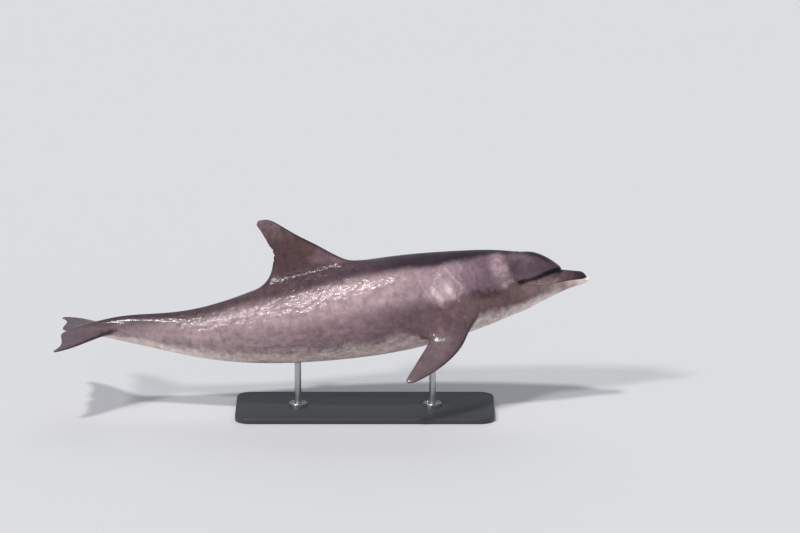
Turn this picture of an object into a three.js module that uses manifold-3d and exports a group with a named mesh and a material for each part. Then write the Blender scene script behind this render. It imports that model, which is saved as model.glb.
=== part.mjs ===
// A life-size bottlenose dolphin, slightly arched as it rolls at the surface, held over a flat base by two
// short rods.
//
// Millimetres, +Z up. The head points to +X and the animal's left side is +Y. The origin is the centre of the
// base's underside. The body is one surface, a ring of points at each station along the spine, and thin cuts
// part it into head, jaws, neck, trunk and tail. Stations run from 0 at the tip of the lower jaw to 1 at the
// notch between the flukes.
import * as THREE from "three";
import { mergeVertices } from "three/addons/utils/BufferGeometryUtils.js";
import Module from "manifold-3d";

const wasm = await Module();
wasm.setup();

// ---- Driving dimensions ----

const LENGTH = 2400; // lower jaw's tip to fluke notch, along the spine
const PERCENT = LENGTH / 100; // the profiles below are in percent of the length
const GAP = 0.3; // between neighbouring solids
const SIDES = 36; // points in a ring of the body
const QUARTER = Math.PI / 2; // round a ring, from the left side to the top

// ---- Splines ----

// The natural cubic spline through rows of [at, value].
function spline(rows) {
  const n = rows.length - 1;
  const at = rows.map((r) => r[0]);
  const value = rows.map((r) => r[1]);
  const step = at.slice(1).map((x, i) => x - at[i]);
  const slope = step.map((h, i) => (value[i + 1] - value[i]) / h);
  const bend = new Array(n + 1).fill(0); // second derivatives
  const ratio = new Array(n + 1).fill(0);
  for (let i = 1; i < n; i++) {
    const pivot = 2 * (step[i - 1] + step[i]) - step[i - 1] * ratio[i - 1];
    ratio[i] = step[i] / pivot;
    bend[i] = (6 * (slope[i] - slope[i - 1]) - step[i - 1] * bend[i - 1]) / pivot;
  }
  for (let i = n - 1; i > 0; i--) bend[i] -= ratio[i] * bend[i + 1];
  return (x) => {
    const clamped = Math.min(Math.max(x, at[0]), at[n]);
    let i = 0;
    while (i < n - 1 && clamped > at[i + 1]) i++;
    const h = step[i];
    const a = (at[i + 1] - clamped) / h;
    const b = 1 - a;
    const curved = ((a ** 3 - a) * bend[i] + (b ** 3 - b) * bend[i + 1]) * (h * h) / 6;
    return a * value[i] + b * value[i + 1] + curved;
  };
}

// A spline through rows of [at, first, second], as a function that gives both.
function spline2(rows) {
  const first = spline(rows.map((r) => [r[0], r[1]]));
  const second = spline(rows.map((r) => [r[0], r[2]]));
  return (x) => [first(x), second(x)];
}

// From 0 at x = 0 to 1 at x = reach, as the rounded nose of an ellipse.
function roundedStart(x, reach) {
  const t = Math.min(Math.max(x / reach, 0), 1);
  return Math.sqrt(1 - (1 - t) ** 2);
}

// ---- Spine ----

const ANCHOR_STATION = 0.43; // this station of the spine stands over the origin
const ANCHOR_HEIGHT = 480;
const PITCH_DEG = spline([
  [0, 8], [0.2, 9], [0.45, 10], [0.58, 12], [0.68, 7], [0.78, -3], [0.87, -5], [0.94, 1], [1, 6],
]); // how far each station's forward direction points above the horizontal
const SPINE_STEPS = 600;

function pitch(station) {
  return THREE.MathUtils.degToRad(PITCH_DEG(station));
}

const spineX = [0];
const spineZ = [0];
for (let i = 0; i < SPINE_STEPS; i++) {
  const middle = pitch((i + 0.5) / SPINE_STEPS);
  spineX.push(spineX[i] - (LENGTH / SPINE_STEPS) * Math.cos(middle));
  spineZ.push(spineZ[i] - (LENGTH / SPINE_STEPS) * Math.sin(middle));
}

function onSpine(values, station) {
  const place = Math.min(Math.max(station, 0), 1) * SPINE_STEPS;
  const i = Math.min(Math.floor(place), SPINE_STEPS - 1);
  return values[i] + (values[i + 1] - values[i]) * (place - i);
}

// The point at a station, out to the left and up from the spine, square to it.
function bodyPoint(station, left, up) {
  const angle = pitch(station);
  return new THREE.Vector3(
    onSpine(spineX, station) - onSpine(spineX, ANCHOR_STATION) - up * Math.sin(angle),
    left,
    onSpine(spineZ, station) - onSpine(spineZ, ANCHOR_STATION) + ANCHOR_HEIGHT + up * Math.cos(angle),
  );
}

// ---- Body sections ----

const MELON_START = 0.051; // where the forehead rises from the beak
const MELON_NOSE = 0.075; // length over which the forehead rounds up
const UPPER_JAW_START = 0.0058; // the lower jaw reaches this far past the upper one
const BEAK_NOSE = 0.012; // length of the beak's rounded end
const CHEEK_END = 0.16; // behind this station only the trunk's outline counts

// Beak, cheeks and throat, in percent of the length. Heights are above or below the spine's axis, and middle
// is the height where the section is widest.
const BEAK = {
  halfWidth: spline([
    [0, 1.25], [0.02, 1.45], [0.04, 1.72], [0.06, 2.3], [0.085, 3.2], [0.12, 4.0], [0.16, 4.2],
  ]),
  top: spline([[0, 0.6], [0.02, 1.0], [0.04, 1.48], [0.06, 1.9], [0.085, 2.4], [0.12, 2.9], [0.16, 3.0]]),
  bottom: spline([
    [0, 1.25], [0.02, 1.6], [0.04, 1.95], [0.06, 2.5], [0.085, 3.3], [0.12, 4.15], [0.16, 4.4],
  ]),
  middle: spline([
    [0, -0.75], [0.006, -0.6], [0.014, -0.35], [0.03, -0.2], [0.05, -0.1], [0.08, 0], [0.16, 0.2],
  ]),
};
const GAPE_CORNER = 0.112;
const mouthHeight = spline([
  [0, -0.25], [0.015, -0.2], [0.035, -0.08], [0.055, 0], [0.075, 0], [0.095, 0.2], [0.112, 0.8],
]);
const LIP_DROP = 0.05; // how far the lower jaw's lip lies under the mouth line ahead of the upper jaw

// Melon, trunk and tail stock, likewise.
const TRUNK = {
  halfWidth: spline([
    [0.051, 2.6], [0.08, 3.6], [0.12, 4.5], [0.17, 5.6], [0.24, 6.95], [0.32, 7.9], [0.42, 8.3],
    [0.52, 7.75], [0.62, 6.15], [0.72, 4.25], [0.82, 2.6], [0.9, 1.6], [0.95, 1.15], [1, 0.35],
  ]),
  top: spline([
    [0.051, 4.0], [0.068, 5.2], [0.084, 5.85], [0.101, 6.2], [0.118, 6.3], [0.138, 6.65], [0.17, 7.35],
    [0.235, 8.2], [0.33, 8.95], [0.43, 9.15], [0.52, 8.9], [0.62, 7.7], [0.72, 5.8],
    [0.82, 3.85], [0.9, 2.5], [0.95, 1.3], [1, 0.12],
  ]),
  bottom: spline([
    [0.051, 0.5], [0.08, 1.8], [0.12, 4.0], [0.17, 5.8], [0.24, 7.35], [0.32, 8.6], [0.42, 9.1],
    [0.52, 8.5], [0.62, 7.0], [0.72, 5.0], [0.82, 3.3], [0.9, 2.2], [0.95, 1.2], [1, 0.12],
  ]),
  middle: spline([[0.051, 1.9], [0.08, 1.6], [0.13, 1.0], [0.2, 0.4], [0.4, 0.2], [0.7, 0.3], [1, 0]]),
};
const upperRoundness = spline([[0, 2.1], [0.3, 2.05], [0.6, 1.95], [0.8, 1.7], [0.9, 1.65], [1, 1.9]]);
const lowerRoundness = spline([[0, 2.2], [0.3, 2.15], [0.6, 1.95], [0.8, 1.75], [0.9, 1.65], [1, 1.9]]);
const creaseBlend = spline([[0.051, 6], [0.075, 16], [0.12, 45], [0.16, 26]]); // the crease's softness
const ringCentre = spline([
  [0, -0.75], [0.006, -0.6], [0.014, -0.35], [0.04, 0], [0.08, 0.8], [0.14, 0.8], [0.3, 0.4], [0.7, 0.3],
  [1, 0],
]);

const TINY = 1e-3; // keeps divisions safe where a section shrinks to a point

// The end of the lower jaw, up to its lip.
function lowerJawSection(station) {
  const nose = roundedStart(station, BEAK_NOSE);
  const middle = BEAK.middle(station);
  const lip = mouthHeight(station) - LIP_DROP;
  return {
    halfWidth: BEAK.halfWidth(station) * nose * PERCENT,
    middle: middle * PERCENT,
    above: Math.max(lip - middle, 0) * nose * PERCENT,
    below: (BEAK.bottom(station) + middle) * nose * PERCENT,
  };
}

// The beak, which grows out of the lip at the upper jaw's rounded end and holds both jaws behind it.
function beakSection(station) {
  const nose = roundedStart(station - UPPER_JAW_START, BEAK_NOSE);
  const lip = mouthHeight(station) - LIP_DROP;
  const middle = lip + (BEAK.middle(station) - lip) * nose;
  return {
    halfWidth: BEAK.halfWidth(station) * nose * PERCENT,
    middle: middle * PERCENT,
    above: (BEAK.top(station) - middle) * nose * PERCENT,
    below: (BEAK.bottom(station) + middle) * nose * PERCENT,
  };
}

function trunkSection(station) {
  const nose = roundedStart(station - MELON_START, MELON_NOSE);
  const middle = TRUNK.middle(station);
  return {
    halfWidth: TRUNK.halfWidth(station) * Math.sqrt(nose) * PERCENT,
    middle: middle * PERCENT,
    above: (TRUNK.top(station) - middle) * nose * PERCENT,
    below: (TRUNK.bottom(station) + middle) * nose * PERCENT,
  };
}

// How far a point of a section lies outside a shape's outline, measured from the shape's own centre.
function outside(shape, station, left, up) {
  const rise = up - shape.middle;
  const reach = Math.max(rise >= 0 ? shape.above : shape.below, TINY);
  const power = rise >= 0 ? upperRoundness(station) : lowerRoundness(station);
  const width = Math.max(shape.halfWidth, TINY);
  const share = (Math.abs(left / width) ** power + Math.abs(rise / reach) ** power) ** (1 / power);
  const distance = Math.hypot(left, rise);
  return distance - distance / Math.max(share, TINY);
}

function softMinimum(a, b, softness) {
  const overlap = Math.max(softness - Math.abs(a - b), 0) / softness;
  return Math.min(a, b) - (overlap * overlap * softness) / 4;
}

const RADIUS_LIMIT = 12 * PERCENT; // more than any section reaches
const HALVINGS = 34;

// The distance from a ring's centre to the skin, in the direction of an angle from the animal's left.
function skinRadius(station, angle) {
  const centre = ringCentre(station) * PERCENT;
  const beak = station < CHEEK_END ? [lowerJawSection(station), beakSection(station)] : [];
  const trunk = station > MELON_START ? [trunkSection(station)] : [];
  let inner = 0;
  let outer = RADIUS_LIMIT;
  for (let i = 0; i < HALVINGS; i++) {
    const radius = (inner + outer) / 2;
    const left = radius * Math.cos(angle);
    const up = centre + radius * Math.sin(angle);
    const nearest = (shapes) => Math.min(...shapes.map((shape) => outside(shape, station, left, up)));
    if (softMinimum(nearest(beak), nearest(trunk), creaseBlend(station)) < 0) inner = radius;
    else outer = radius;
  }
  return inner;
}

function skinPoint(station, angle, grow = 0) {
  const radius = skinRadius(station, angle) + grow;
  const centre = ringCentre(station) * PERCENT;
  return bodyPoint(station, radius * Math.cos(angle), centre + radius * Math.sin(angle));
}

// ---- Solids ----

function toSolid(geometry) {
  const bare = geometry.index ? geometry.toNonIndexed() : geometry.clone();
  bare.deleteAttribute("normal");
  bare.deleteAttribute("uv");
  const merged = mergeVertices(bare, 1e-3);
  return new wasm.Manifold(
    new wasm.Mesh({
      numProp: 3,
      vertProperties: merged.attributes.position.array,
      triVerts: new Uint32Array(merged.index.array),
    }),
  );
}

function toGeometry(solid) {
  const mesh = solid.getMesh();
  const points = new Float32Array(mesh.numVert * 3);
  for (let i = 0; i < mesh.numVert; i++) {
    points.set(mesh.vertProperties.subarray(i * mesh.numProp, i * mesh.numProp + 3), i * 3);
  }
  const geometry = new THREE.BufferGeometry();
  geometry.setAttribute("position", new THREE.BufferAttribute(points, 3));
  geometry.setIndex(new THREE.BufferAttribute(mesh.triVerts, 1));
  geometry.computeVertexNormals();
  return geometry;
}

// A closed solid through rings of the same number of points, each end closed to the middle of its ring.
function loft(rings) {
  const count = rings[0].length;
  const points = rings.flat();
  const faces = [];
  for (let r = 0; r < rings.length - 1; r++) {
    for (let j = 0; j < count; j++) {
      const here = r * count + j;
      const next = r * count + ((j + 1) % count);
      faces.push(here, next, next + count, here, next + count, here + count);
    }
  }
  for (const [ring, forward] of [[0, false], [rings.length - 1, true]]) {
    const middle = new THREE.Vector3();
    rings[ring].forEach((p) => middle.addScaledVector(p, 1 / count));
    points.push(middle);
    for (let j = 0; j < count; j++) {
      const here = ring * count + j;
      const next = ring * count + ((j + 1) % count);
      faces.push(...(forward ? [here, next, points.length - 1] : [next, here, points.length - 1]));
    }
  }
  const geometry = new THREE.BufferGeometry().setFromPoints(points);
  geometry.setIndex(faces);
  const solid = toSolid(geometry);
  if (solid.volume() > 0) return solid;
  geometry.setIndex(faces.reverse());
  return toSolid(geometry);
}

// ---- Lengths of the body ----

const TIP_STATION = 0.0003;
const TAIL_END = 0.9985;
const SNOUT_STATIONS = [
  TIP_STATION, 0.001, 0.0025, 0.0045, 0.0065, 0.0085, 0.012, 0.017, 0.025, 0.034, 0.043, 0.0505, 0.0525,
  0.056, 0.061, 0.068, 0.0765, 0.085, 0.097, 0.11, 0.123, 0.138,
];
const LENGTHS = [
  // name, first station, last station, rings
  ["neck", 0.155, 0.22, 3],
  ["chest", 0.22, 0.355, 4],
  ["midbody", 0.355, 0.5, 4],
  ["abdomen", 0.5, 0.64, 4],
  ["tail_stock_front", 0.64, 0.78, 4],
  ["tail_stock_rear", 0.78, 0.9, 4],
  ["fluke_root", 0.9, TAIL_END, 6],
];
const HEAD_END = LENGTHS[0][1];

function evenly(from, to, count) {
  return Array.from({ length: count }, (_, i) => from + ((to - from) * i) / count);
}

const STATIONS = [
  ...SNOUT_STATIONS,
  ...LENGTHS.flatMap(([, from, to, rings]) => evenly(from, to, rings)),
  TAIL_END,
];

function ring(station, grow) {
  return Array.from({ length: SIDES }, (_, j) => skinPoint(station, (j / SIDES) * 2 * Math.PI, grow));
}

// A length of the body, with a thin cut's half taken off each end but the tip and the tail's end.
function bodyLength(from, to) {
  const halfCut = GAP / 2 / LENGTH;
  const first = from === TIP_STATION ? from : from + halfCut;
  const last = to === TAIL_END ? to : to - halfCut;
  const between = STATIONS.filter((s) => s > first + halfCut && s < last - halfCut);
  return loft([first, ...between, last].map((station) => ring(station, 0)));
}

// The whole body, grown by a gap, to cut whatever meets it.
function grownBody() {
  return loft(STATIONS.map((station) => ring(station, GAP)));
}

// ---- Mouth ----

const JAW_HINGE = 0.118; // the lower jaw's rear edge, at the throat
const MOUTH_STEPS = 18;
const CLEARANCE = 60; // how far the cut reaches ahead of the beak
const THROAT_DEPTH = 9 * PERCENT; // deeper than the throat
const CUT_WIDTH = 400; // wider than the head

// The space under the mouth line, from in front of the beak to the jaw's rear edge, as a wide prism.
function underMouth(drop) {
  const line = [];
  for (let i = 0; i <= MOUTH_STEPS; i++) {
    const station = (GAPE_CORNER * i) / MOUTH_STEPS;
    const p = bodyPoint(station, 0, mouthHeight(station) * PERCENT - drop);
    line.push(new THREE.Vector2(p.x, p.z));
  }
  line[MOUTH_STEPS].x += drop;
  const ahead = new THREE.Vector2(line[0].x + CLEARANCE, line[0].y + CLEARANCE * Math.sin(pitch(0)));
  const throat = bodyPoint(JAW_HINGE, 0, -THROAT_DEPTH);
  const behind = new THREE.Vector2(throat.x + drop, throat.z);
  const shape = new THREE.Shape([ahead, ...line, behind, new THREE.Vector2(ahead.x, throat.z)]);
  const geometry = new THREE.ExtrudeGeometry(shape, { depth: CUT_WIDTH, bevelEnabled: false });
  geometry.rotateX(QUARTER); // the drawing's Y becomes +Z, and the depth runs to -Y
  geometry.translate(0, CUT_WIDTH / 2, 0);
  return toSolid(geometry);
}

// A block that holds all of the snout ahead of a station.
function aheadOf(station, gap) {
  const geometry = new THREE.BoxGeometry(CUT_WIDTH, CUT_WIDTH, CUT_WIDTH);
  geometry.translate(CUT_WIDTH / 2 + gap, 0, 0);
  geometry.rotateY(-pitch(station));
  const start = bodyPoint(station, 0, 0);
  geometry.translate(start.x, 0, start.z);
  return toSolid(geometry);
}

// ---- Eyes ----

// The ball's centre lies inside the skin by sunk, where the skin passes the eye's height.
const EYE = { station: 0.1285, up: 1.7 * PERCENT, side: 4.6 * PERCENT, radius: 18, sunk: 14.5 };

function eyeCentre(side) {
  const centre = ringCentre(EYE.station) * PERCENT;
  const skin = skinPoint(EYE.station, Math.atan2(EYE.up - centre, EYE.side));
  return new THREE.Vector3(skin.x, side * (skin.y - EYE.sunk), skin.z);
}

function ball(centre, radius) {
  const geometry = new THREE.SphereGeometry(radius, 14, 8);
  geometry.rotateX(QUARTER);
  geometry.translate(centre.x, centre.y, centre.z);
  return toSolid(geometry);
}

// ---- Fins ----

const THICKEST = 0.1; // the section's formula peaks near this
const FIN_RINGS = 11; // steps from a fin's root to its tip
const CHORD_STEPS = 7; // points along each face of a fin's ring
const TIP_CROWDING = 1.6; // sets a fin's rings closer together towards its tip
const FIN_EDGE = 1.2; // half the thickness at a fin's rear edge

// The thickness of a fin's section as a share of its greatest, from the front edge at 0 to the rear at 1.
function finSection(along) {
  const bulge = 0.2969 * Math.sqrt(along) - 0.126 * along - 0.3516 * along ** 2;
  return (bulge + 0.2843 * along ** 3 - 0.1036 * along ** 4) / THICKEST;
}

// A fin in a frame of its own: out along its span, forward along its chord, and normal to both. Each ring
// runs from the front edge over one face to the rear edge and back over the other.
function fin({ front, rear, halfThickness, bow }, frame) {
  const rings = [];
  for (let i = 0; i <= FIN_RINGS; i++) {
    const v = 1 - (1 - i / FIN_RINGS) ** TIP_CROWDING;
    const [outFront, forwardFront] = front(v);
    const [outRear, forwardRear] = rear(v);
    const side = (k, sign) => {
      const along = (1 - Math.cos((Math.PI * k) / CHORD_STEPS)) / 2;
      const thick = sign * (finSection(along) * halfThickness(v) + (k ? FIN_EDGE * along : 0));
      return frame.origin
        .clone()
        .addScaledVector(frame.out, outFront + (outRear - outFront) * along)
        .addScaledVector(frame.forward, forwardFront + (forwardRear - forwardFront) * along)
        .addScaledVector(frame.normal, thick + bow(v));
    };
    const loop = [side(0, 1)];
    for (let k = 1; k <= CHORD_STEPS; k++) loop.push(side(k, 1));
    for (let k = CHORD_STEPS; k >= 1; k--) loop.push(side(k, -1));
    rings.push(loop);
  }
  return loft(rings);
}

// Dorsal fin: out is up from its base line, forward is along the base line.
const DORSAL_FRONT_STATION = 0.427;
const DORSAL_REAR_STATION = 0.584;
const DORSAL = {
  front: spline2([
    [0, -40, 404], [0.1, 4, 358], [0.25, 60, 292], [0.45, 127, 221], [0.62, 186, 154], [0.78, 239, 101],
    [0.9, 279, 60], [0.97, 297, 28], [1, 302, 6],
  ]),
  rear: spline2([
    [0, -40, -18], [0.1, 8, -10], [0.25, 62, -3], [0.45, 124, 21], [0.62, 176, 14], [0.78, 230, 0],
    [0.9, 264, -11], [0.97, 286, -17], [1, 296, -15],
  ]),
  halfThickness: spline([[0, 30], [0.12, 23], [0.3, 17], [0.5, 13], [0.7, 9.5], [0.85, 6.5], [1, 2]]),
  bow: () => 0,
};

function dorsalFrame() {
  const rear = skinPoint(DORSAL_REAR_STATION, QUARTER);
  const forward = skinPoint(DORSAL_FRONT_STATION, QUARTER).sub(rear).normalize();
  const out = new THREE.Vector3(-forward.z, 0, forward.x);
  return { origin: rear, forward, out, normal: new THREE.Vector3(0, 1, 0) };
}

// Flippers: out is away from the root, down and to the side, forward is along the root's chord.
const FLIPPER_STATION = 0.272;
const FLIPPER_ANGLE = THREE.MathUtils.degToRad(-36); // round the ring, below the animal's left
const FLIPPER_DROOP = THREE.MathUtils.degToRad(-44); // the span's slope, out and down
const FLIPPER_INCIDENCE = THREE.MathUtils.degToRad(-12); // the chord's slope to the spine, front edge down
const FLIPPER = {
  front: spline2([
    [0, -45, 100], [0.12, 0, 86], [0.3, 72, 66], [0.5, 150, 22], [0.7, 222, -46], [0.87, 276, -118],
    [0.96, 300, -163], [1, 304, -180],
  ]),
  rear: spline2([
    [0, -45, -70], [0.12, 0, -70], [0.3, 52, -80], [0.5, 118, -108], [0.7, 182, -140], [0.87, 246, -172],
    [0.96, 284, -190], [1, 297, -193],
  ]),
  halfThickness: spline([[0, 27], [0.12, 21], [0.3, 16], [0.5, 12], [0.7, 8.5], [0.87, 5], [1, 2]]),
  bow: (v) => -20 * v * v,
};

function flipperFrame(side) {
  const origin = skinPoint(FLIPPER_STATION, FLIPPER_ANGLE);
  origin.y *= side;
  const slope = pitch(FLIPPER_STATION) + FLIPPER_INCIDENCE;
  const forward = new THREE.Vector3(Math.cos(slope), 0, Math.sin(slope));
  const up = new THREE.Vector3(-forward.z, 0, forward.x);
  const outward = new THREE.Vector3(0, side, 0);
  const sine = Math.sin(FLIPPER_DROOP);
  const cosine = Math.cos(FLIPPER_DROOP);
  const out = outward.clone().multiplyScalar(cosine).addScaledVector(up, sine);
  const normal = outward.clone().multiplyScalar(-sine).addScaledVector(up, cosine);
  return { origin, forward, out, normal };
}

// Flukes: out is to the side, forward is along the spine's end, from the station where the front edge starts.
const FLUKE_STATION = 0.905;
const FLUKE_PITCH_STATION = 0.96;
const FLUKE = {
  front: spline2([
    [0, 1, 8], [0.12, 26, -8], [0.3, 84, -50], [0.5, 160, -108], [0.7, 232, -166], [0.87, 286, -222],
    [0.96, 306, -256], [1, 308, -268],
  ]),
  rear: spline2([
    [0, 1, -216], [0.12, 22, -243], [0.3, 64, -253], [0.5, 124, -247], [0.7, 188, -243], [0.87, 252, -254],
    [0.96, 290, -270], [1, 300, -275],
  ]),
  halfThickness: spline([[0, 24], [0.12, 20], [0.3, 14.5], [0.5, 11], [0.7, 8], [0.87, 5], [1, 2]]),
  bow: (v) => -14 * v * v,
};

function flukeFrame(side) {
  const slope = pitch(FLUKE_PITCH_STATION);
  return {
    origin: bodyPoint(FLUKE_STATION, 0, 0),
    forward: new THREE.Vector3(Math.cos(slope), 0, Math.sin(slope)),
    out: new THREE.Vector3(0, side, 0),
    normal: new THREE.Vector3(-Math.sin(slope), 0, Math.cos(slope)),
  };
}

// ---- Stand ----

const BASE = { length: 1180, width: 470, height: 24, corner: 70, bevel: 4 };
const ROD = { radius: 15, stations: { front: 0.3, rear: 0.56 } };
const COLLAR = { radius: 42, height: 14, chamfer: 2 };
const ROUND_SIDES = 28;

function baseSolid() {
  const x = BASE.length / 2 - BASE.bevel;
  const y = BASE.width / 2 - BASE.bevel;
  const r = BASE.corner - BASE.bevel;
  const shape = new THREE.Shape();
  shape.moveTo(-x + r, -y);
  shape.absarc(x - r, -y + r, r, -QUARTER, 0);
  shape.absarc(x - r, y - r, r, 0, QUARTER);
  shape.absarc(-x + r, y - r, r, QUARTER, 2 * QUARTER);
  shape.absarc(-x + r, -y + r, r, 2 * QUARTER, 3 * QUARTER);
  const geometry = new THREE.ExtrudeGeometry(shape, {
    depth: BASE.height - 2 * BASE.bevel,
    bevelThickness: BASE.bevel,
    bevelSize: BASE.bevel,
    bevelSegments: 1,
    curveSegments: 6,
  });
  geometry.translate(0, 0, BASE.bevel);
  return toSolid(geometry);
}

function lathe(profile, x) {
  const geometry = new THREE.LatheGeometry(profile.map(([r, z]) => new THREE.Vector2(r, z)), ROUND_SIDES);
  geometry.rotateX(QUARTER);
  geometry.translate(x, 0, 0);
  return toSolid(geometry);
}

function rodSolid(x) {
  const bottom = BASE.height + GAP;
  return lathe([[0, bottom], [ROD.radius, bottom], [ROD.radius, ANCHOR_HEIGHT], [0, ANCHOR_HEIGHT]], x);
}

function collarSolid(x) {
  const bottom = BASE.height + GAP;
  const hole = ROD.radius + GAP;
  return lathe(
    [
      [hole, bottom], [COLLAR.radius, bottom], [COLLAR.radius, bottom + COLLAR.height - COLLAR.chamfer],
      [COLLAR.radius - COLLAR.chamfer, bottom + COLLAR.height], [hole, bottom + COLLAR.height],
      [hole, bottom],
    ],
    x,
  );
}

// ---- Assembly ----

const dolphin = new THREE.Group();
dolphin.name = "dolphin";

const FINISHES = {
  skin: new THREE.MeshStandardMaterial({ color: 0x6b5f62, roughness: 0.35, metalness: 0 }),
  cape: new THREE.MeshStandardMaterial({ color: 0x4a3f44, roughness: 0.35, metalness: 0 }),
  eye: new THREE.MeshStandardMaterial({ color: 0x1a1210, roughness: 0.08, metalness: 0 }),
  base: new THREE.MeshStandardMaterial({ color: 0x24262a, roughness: 0.5, metalness: 0 }),
  rod: new THREE.MeshStandardMaterial({ color: 0xa8abae, roughness: 0.3, metalness: 1 }),
};

function add(name, solid, finish) {
  const mesh = new THREE.Mesh(toGeometry(solid), FINISHES[finish]);
  mesh.name = name;
  dolphin.add(mesh);
}

const eyes = { left: eyeCentre(1), right: eyeCentre(-1) };
const body = grownBody();

const snout = bodyLength(TIP_STATION, HEAD_END)
  .subtract(ball(eyes.left, EYE.radius + GAP))
  .subtract(ball(eyes.right, EYE.radius + GAP));
const overMouth = snout.subtract(underMouth(-GAP / 2));
add("lower_jaw", snout.intersect(underMouth(GAP / 2)), "skin");
add("upper_jaw", overMouth.intersect(aheadOf(MELON_START, GAP / 2)), "cape");
add("head", overMouth.subtract(aheadOf(MELON_START, -GAP / 2)), "cape");

for (const [name, from, to] of LENGTHS) add(name, bodyLength(from, to), "skin");

add("dorsal_fin", fin(DORSAL, dorsalFrame()).subtract(body), "cape");
for (const [name, side] of [["left", 1], ["right", -1]]) {
  add("flipper_" + name, fin(FLIPPER, flipperFrame(side)).subtract(body), "cape");
  add("fluke_" + name, fin(FLUKE, flukeFrame(side)).subtract(body), "cape");
  add("eye_" + name, ball(eyes[name], EYE.radius), "eye");
}

add("stand_base", baseSolid(), "base");
for (const [name, station] of Object.entries(ROD.stations)) {
  const x = bodyPoint(station, 0, 0).x;
  add("stand_rod_" + name, rodSolid(x).subtract(body), "rod");
  add("stand_collar_" + name, collarSolid(x), "rod");
}

export default dolphin;
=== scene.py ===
"""Looks for a life-size bottlenose dolphin on its display stand.

Metres, +Z up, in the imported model's frame: the head points to +X and the animal's left side is +Y. One skin
replaces the nodes of flesh. Its body is a grid of rings along the spine, and each fin is drawn out of an
opening in that grid. Stations run from 0 at the tip of the lower jaw to 1 at the notch between the flukes.
"""
import math
from functools import reduce

import bmesh
import bpy
import numpy as np
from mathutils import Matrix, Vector


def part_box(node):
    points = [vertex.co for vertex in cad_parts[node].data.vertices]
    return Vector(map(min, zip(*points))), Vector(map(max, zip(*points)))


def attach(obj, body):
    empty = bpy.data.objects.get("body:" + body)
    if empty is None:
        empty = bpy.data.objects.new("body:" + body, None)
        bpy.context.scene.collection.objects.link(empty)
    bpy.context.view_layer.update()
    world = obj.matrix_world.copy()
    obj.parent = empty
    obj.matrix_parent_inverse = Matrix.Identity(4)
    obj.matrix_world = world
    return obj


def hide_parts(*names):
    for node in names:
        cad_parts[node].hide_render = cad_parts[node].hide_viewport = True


LENGTH = 2.4  # lower jaw's tip to fluke notch, along the spine
PERCENT = LENGTH / 100
MM = 0.001

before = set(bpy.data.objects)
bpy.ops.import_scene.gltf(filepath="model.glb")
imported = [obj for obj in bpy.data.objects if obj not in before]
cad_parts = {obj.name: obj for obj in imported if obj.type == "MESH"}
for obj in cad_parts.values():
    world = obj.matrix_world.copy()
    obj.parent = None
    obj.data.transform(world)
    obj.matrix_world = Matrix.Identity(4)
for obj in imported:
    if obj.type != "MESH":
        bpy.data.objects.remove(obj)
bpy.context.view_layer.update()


# ---- Splines ----

def spline(*rows):
    """The natural cubic spline through rows of (at, value), for numbers or arrays."""
    at, value = np.array(rows, float).T
    step = np.diff(at)
    slope = np.diff(value) / step
    count = len(at)
    system = np.eye(count)
    pull = np.zeros(count)
    for i in range(1, count - 1):
        system[i, i - 1:i + 2] = step[i - 1], 2 * (step[i - 1] + step[i]), step[i]
        pull[i] = 6 * (slope[i] - slope[i - 1])
    bend = np.linalg.solve(system, pull)

    def evaluate(x):
        x = np.clip(x, at[0], at[-1])
        i = np.clip(np.searchsorted(at, x, side="right") - 1, 0, count - 2)
        b = (x - at[i]) / step[i]
        a = 1 - b
        curved = ((a ** 3 - a) * bend[i] + (b ** 3 - b) * bend[i + 1]) * step[i] ** 2 / 6
        return a * value[i] + b * value[i + 1] + curved

    return evaluate


def splines(*rows):
    """A spline for each of the values in rows of (at, first value, second value, ...)."""
    at, *columns = zip(*rows)
    return [spline(*zip(at, column)) for column in columns]


def smooth_step(x, start, end):
    """From 0 at start to 1 at end, level beyond them."""
    t = np.clip((x - start) / (end - start), 0, 1)
    return t * t * (3 - 2 * t)


def rounded_start(x, reach):
    """From 0 at x = 0 to 1 at x = reach, as the rounded nose of an ellipse."""
    t = np.clip(x / reach, 0, 1)
    return np.sqrt(1 - (1 - t) ** 2)


def bump(distance, width):
    return np.exp(-(distance / width) ** 2)


# ---- Spine ----

ANCHOR_STATION = 0.43  # this station of the spine stands over the origin
ANCHOR_HEIGHT = 0.48
PITCH_DEG = spline(
    (0, 8), (0.2, 9), (0.45, 10), (0.58, 12), (0.68, 7), (0.78, -3), (0.87, -5), (0.94, 1), (1, 6),
)  # how far each station's forward direction points above the horizontal
SPINE_STATIONS = np.arange(-60, 721) / 600


def pitch(station):
    return np.radians(PITCH_DEG(station))


def running_sum(slope):
    """The spine's place at SPINE_STATIONS, from its slope halfway between them, with 0 at the anchor."""
    middle = (SPINE_STATIONS[1:] + SPINE_STATIONS[:-1]) / 2
    place = np.concatenate([[0], -np.cumsum(slope(pitch(middle)) * np.diff(SPINE_STATIONS) * LENGTH)])
    return place - np.interp(ANCHOR_STATION, SPINE_STATIONS, place)


SPINE_X = running_sum(np.cos)
SPINE_Z = running_sum(np.sin) + ANCHOR_HEIGHT


def spine_point(station):
    x = np.interp(station, SPINE_STATIONS, SPINE_X)
    z = np.interp(station, SPINE_STATIONS, SPINE_Z)
    return x, z


def body_point(station, left, up):
    """The points at stations, out to the left and up from the spine, square to it."""
    x, z = spine_point(station)
    angle = pitch(station)
    points = np.broadcast_arrays(x - up * np.sin(angle), left, z + up * np.cos(angle))
    return np.stack(points, -1)


STRAIGHTENING_ROUNDS = 12


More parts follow.
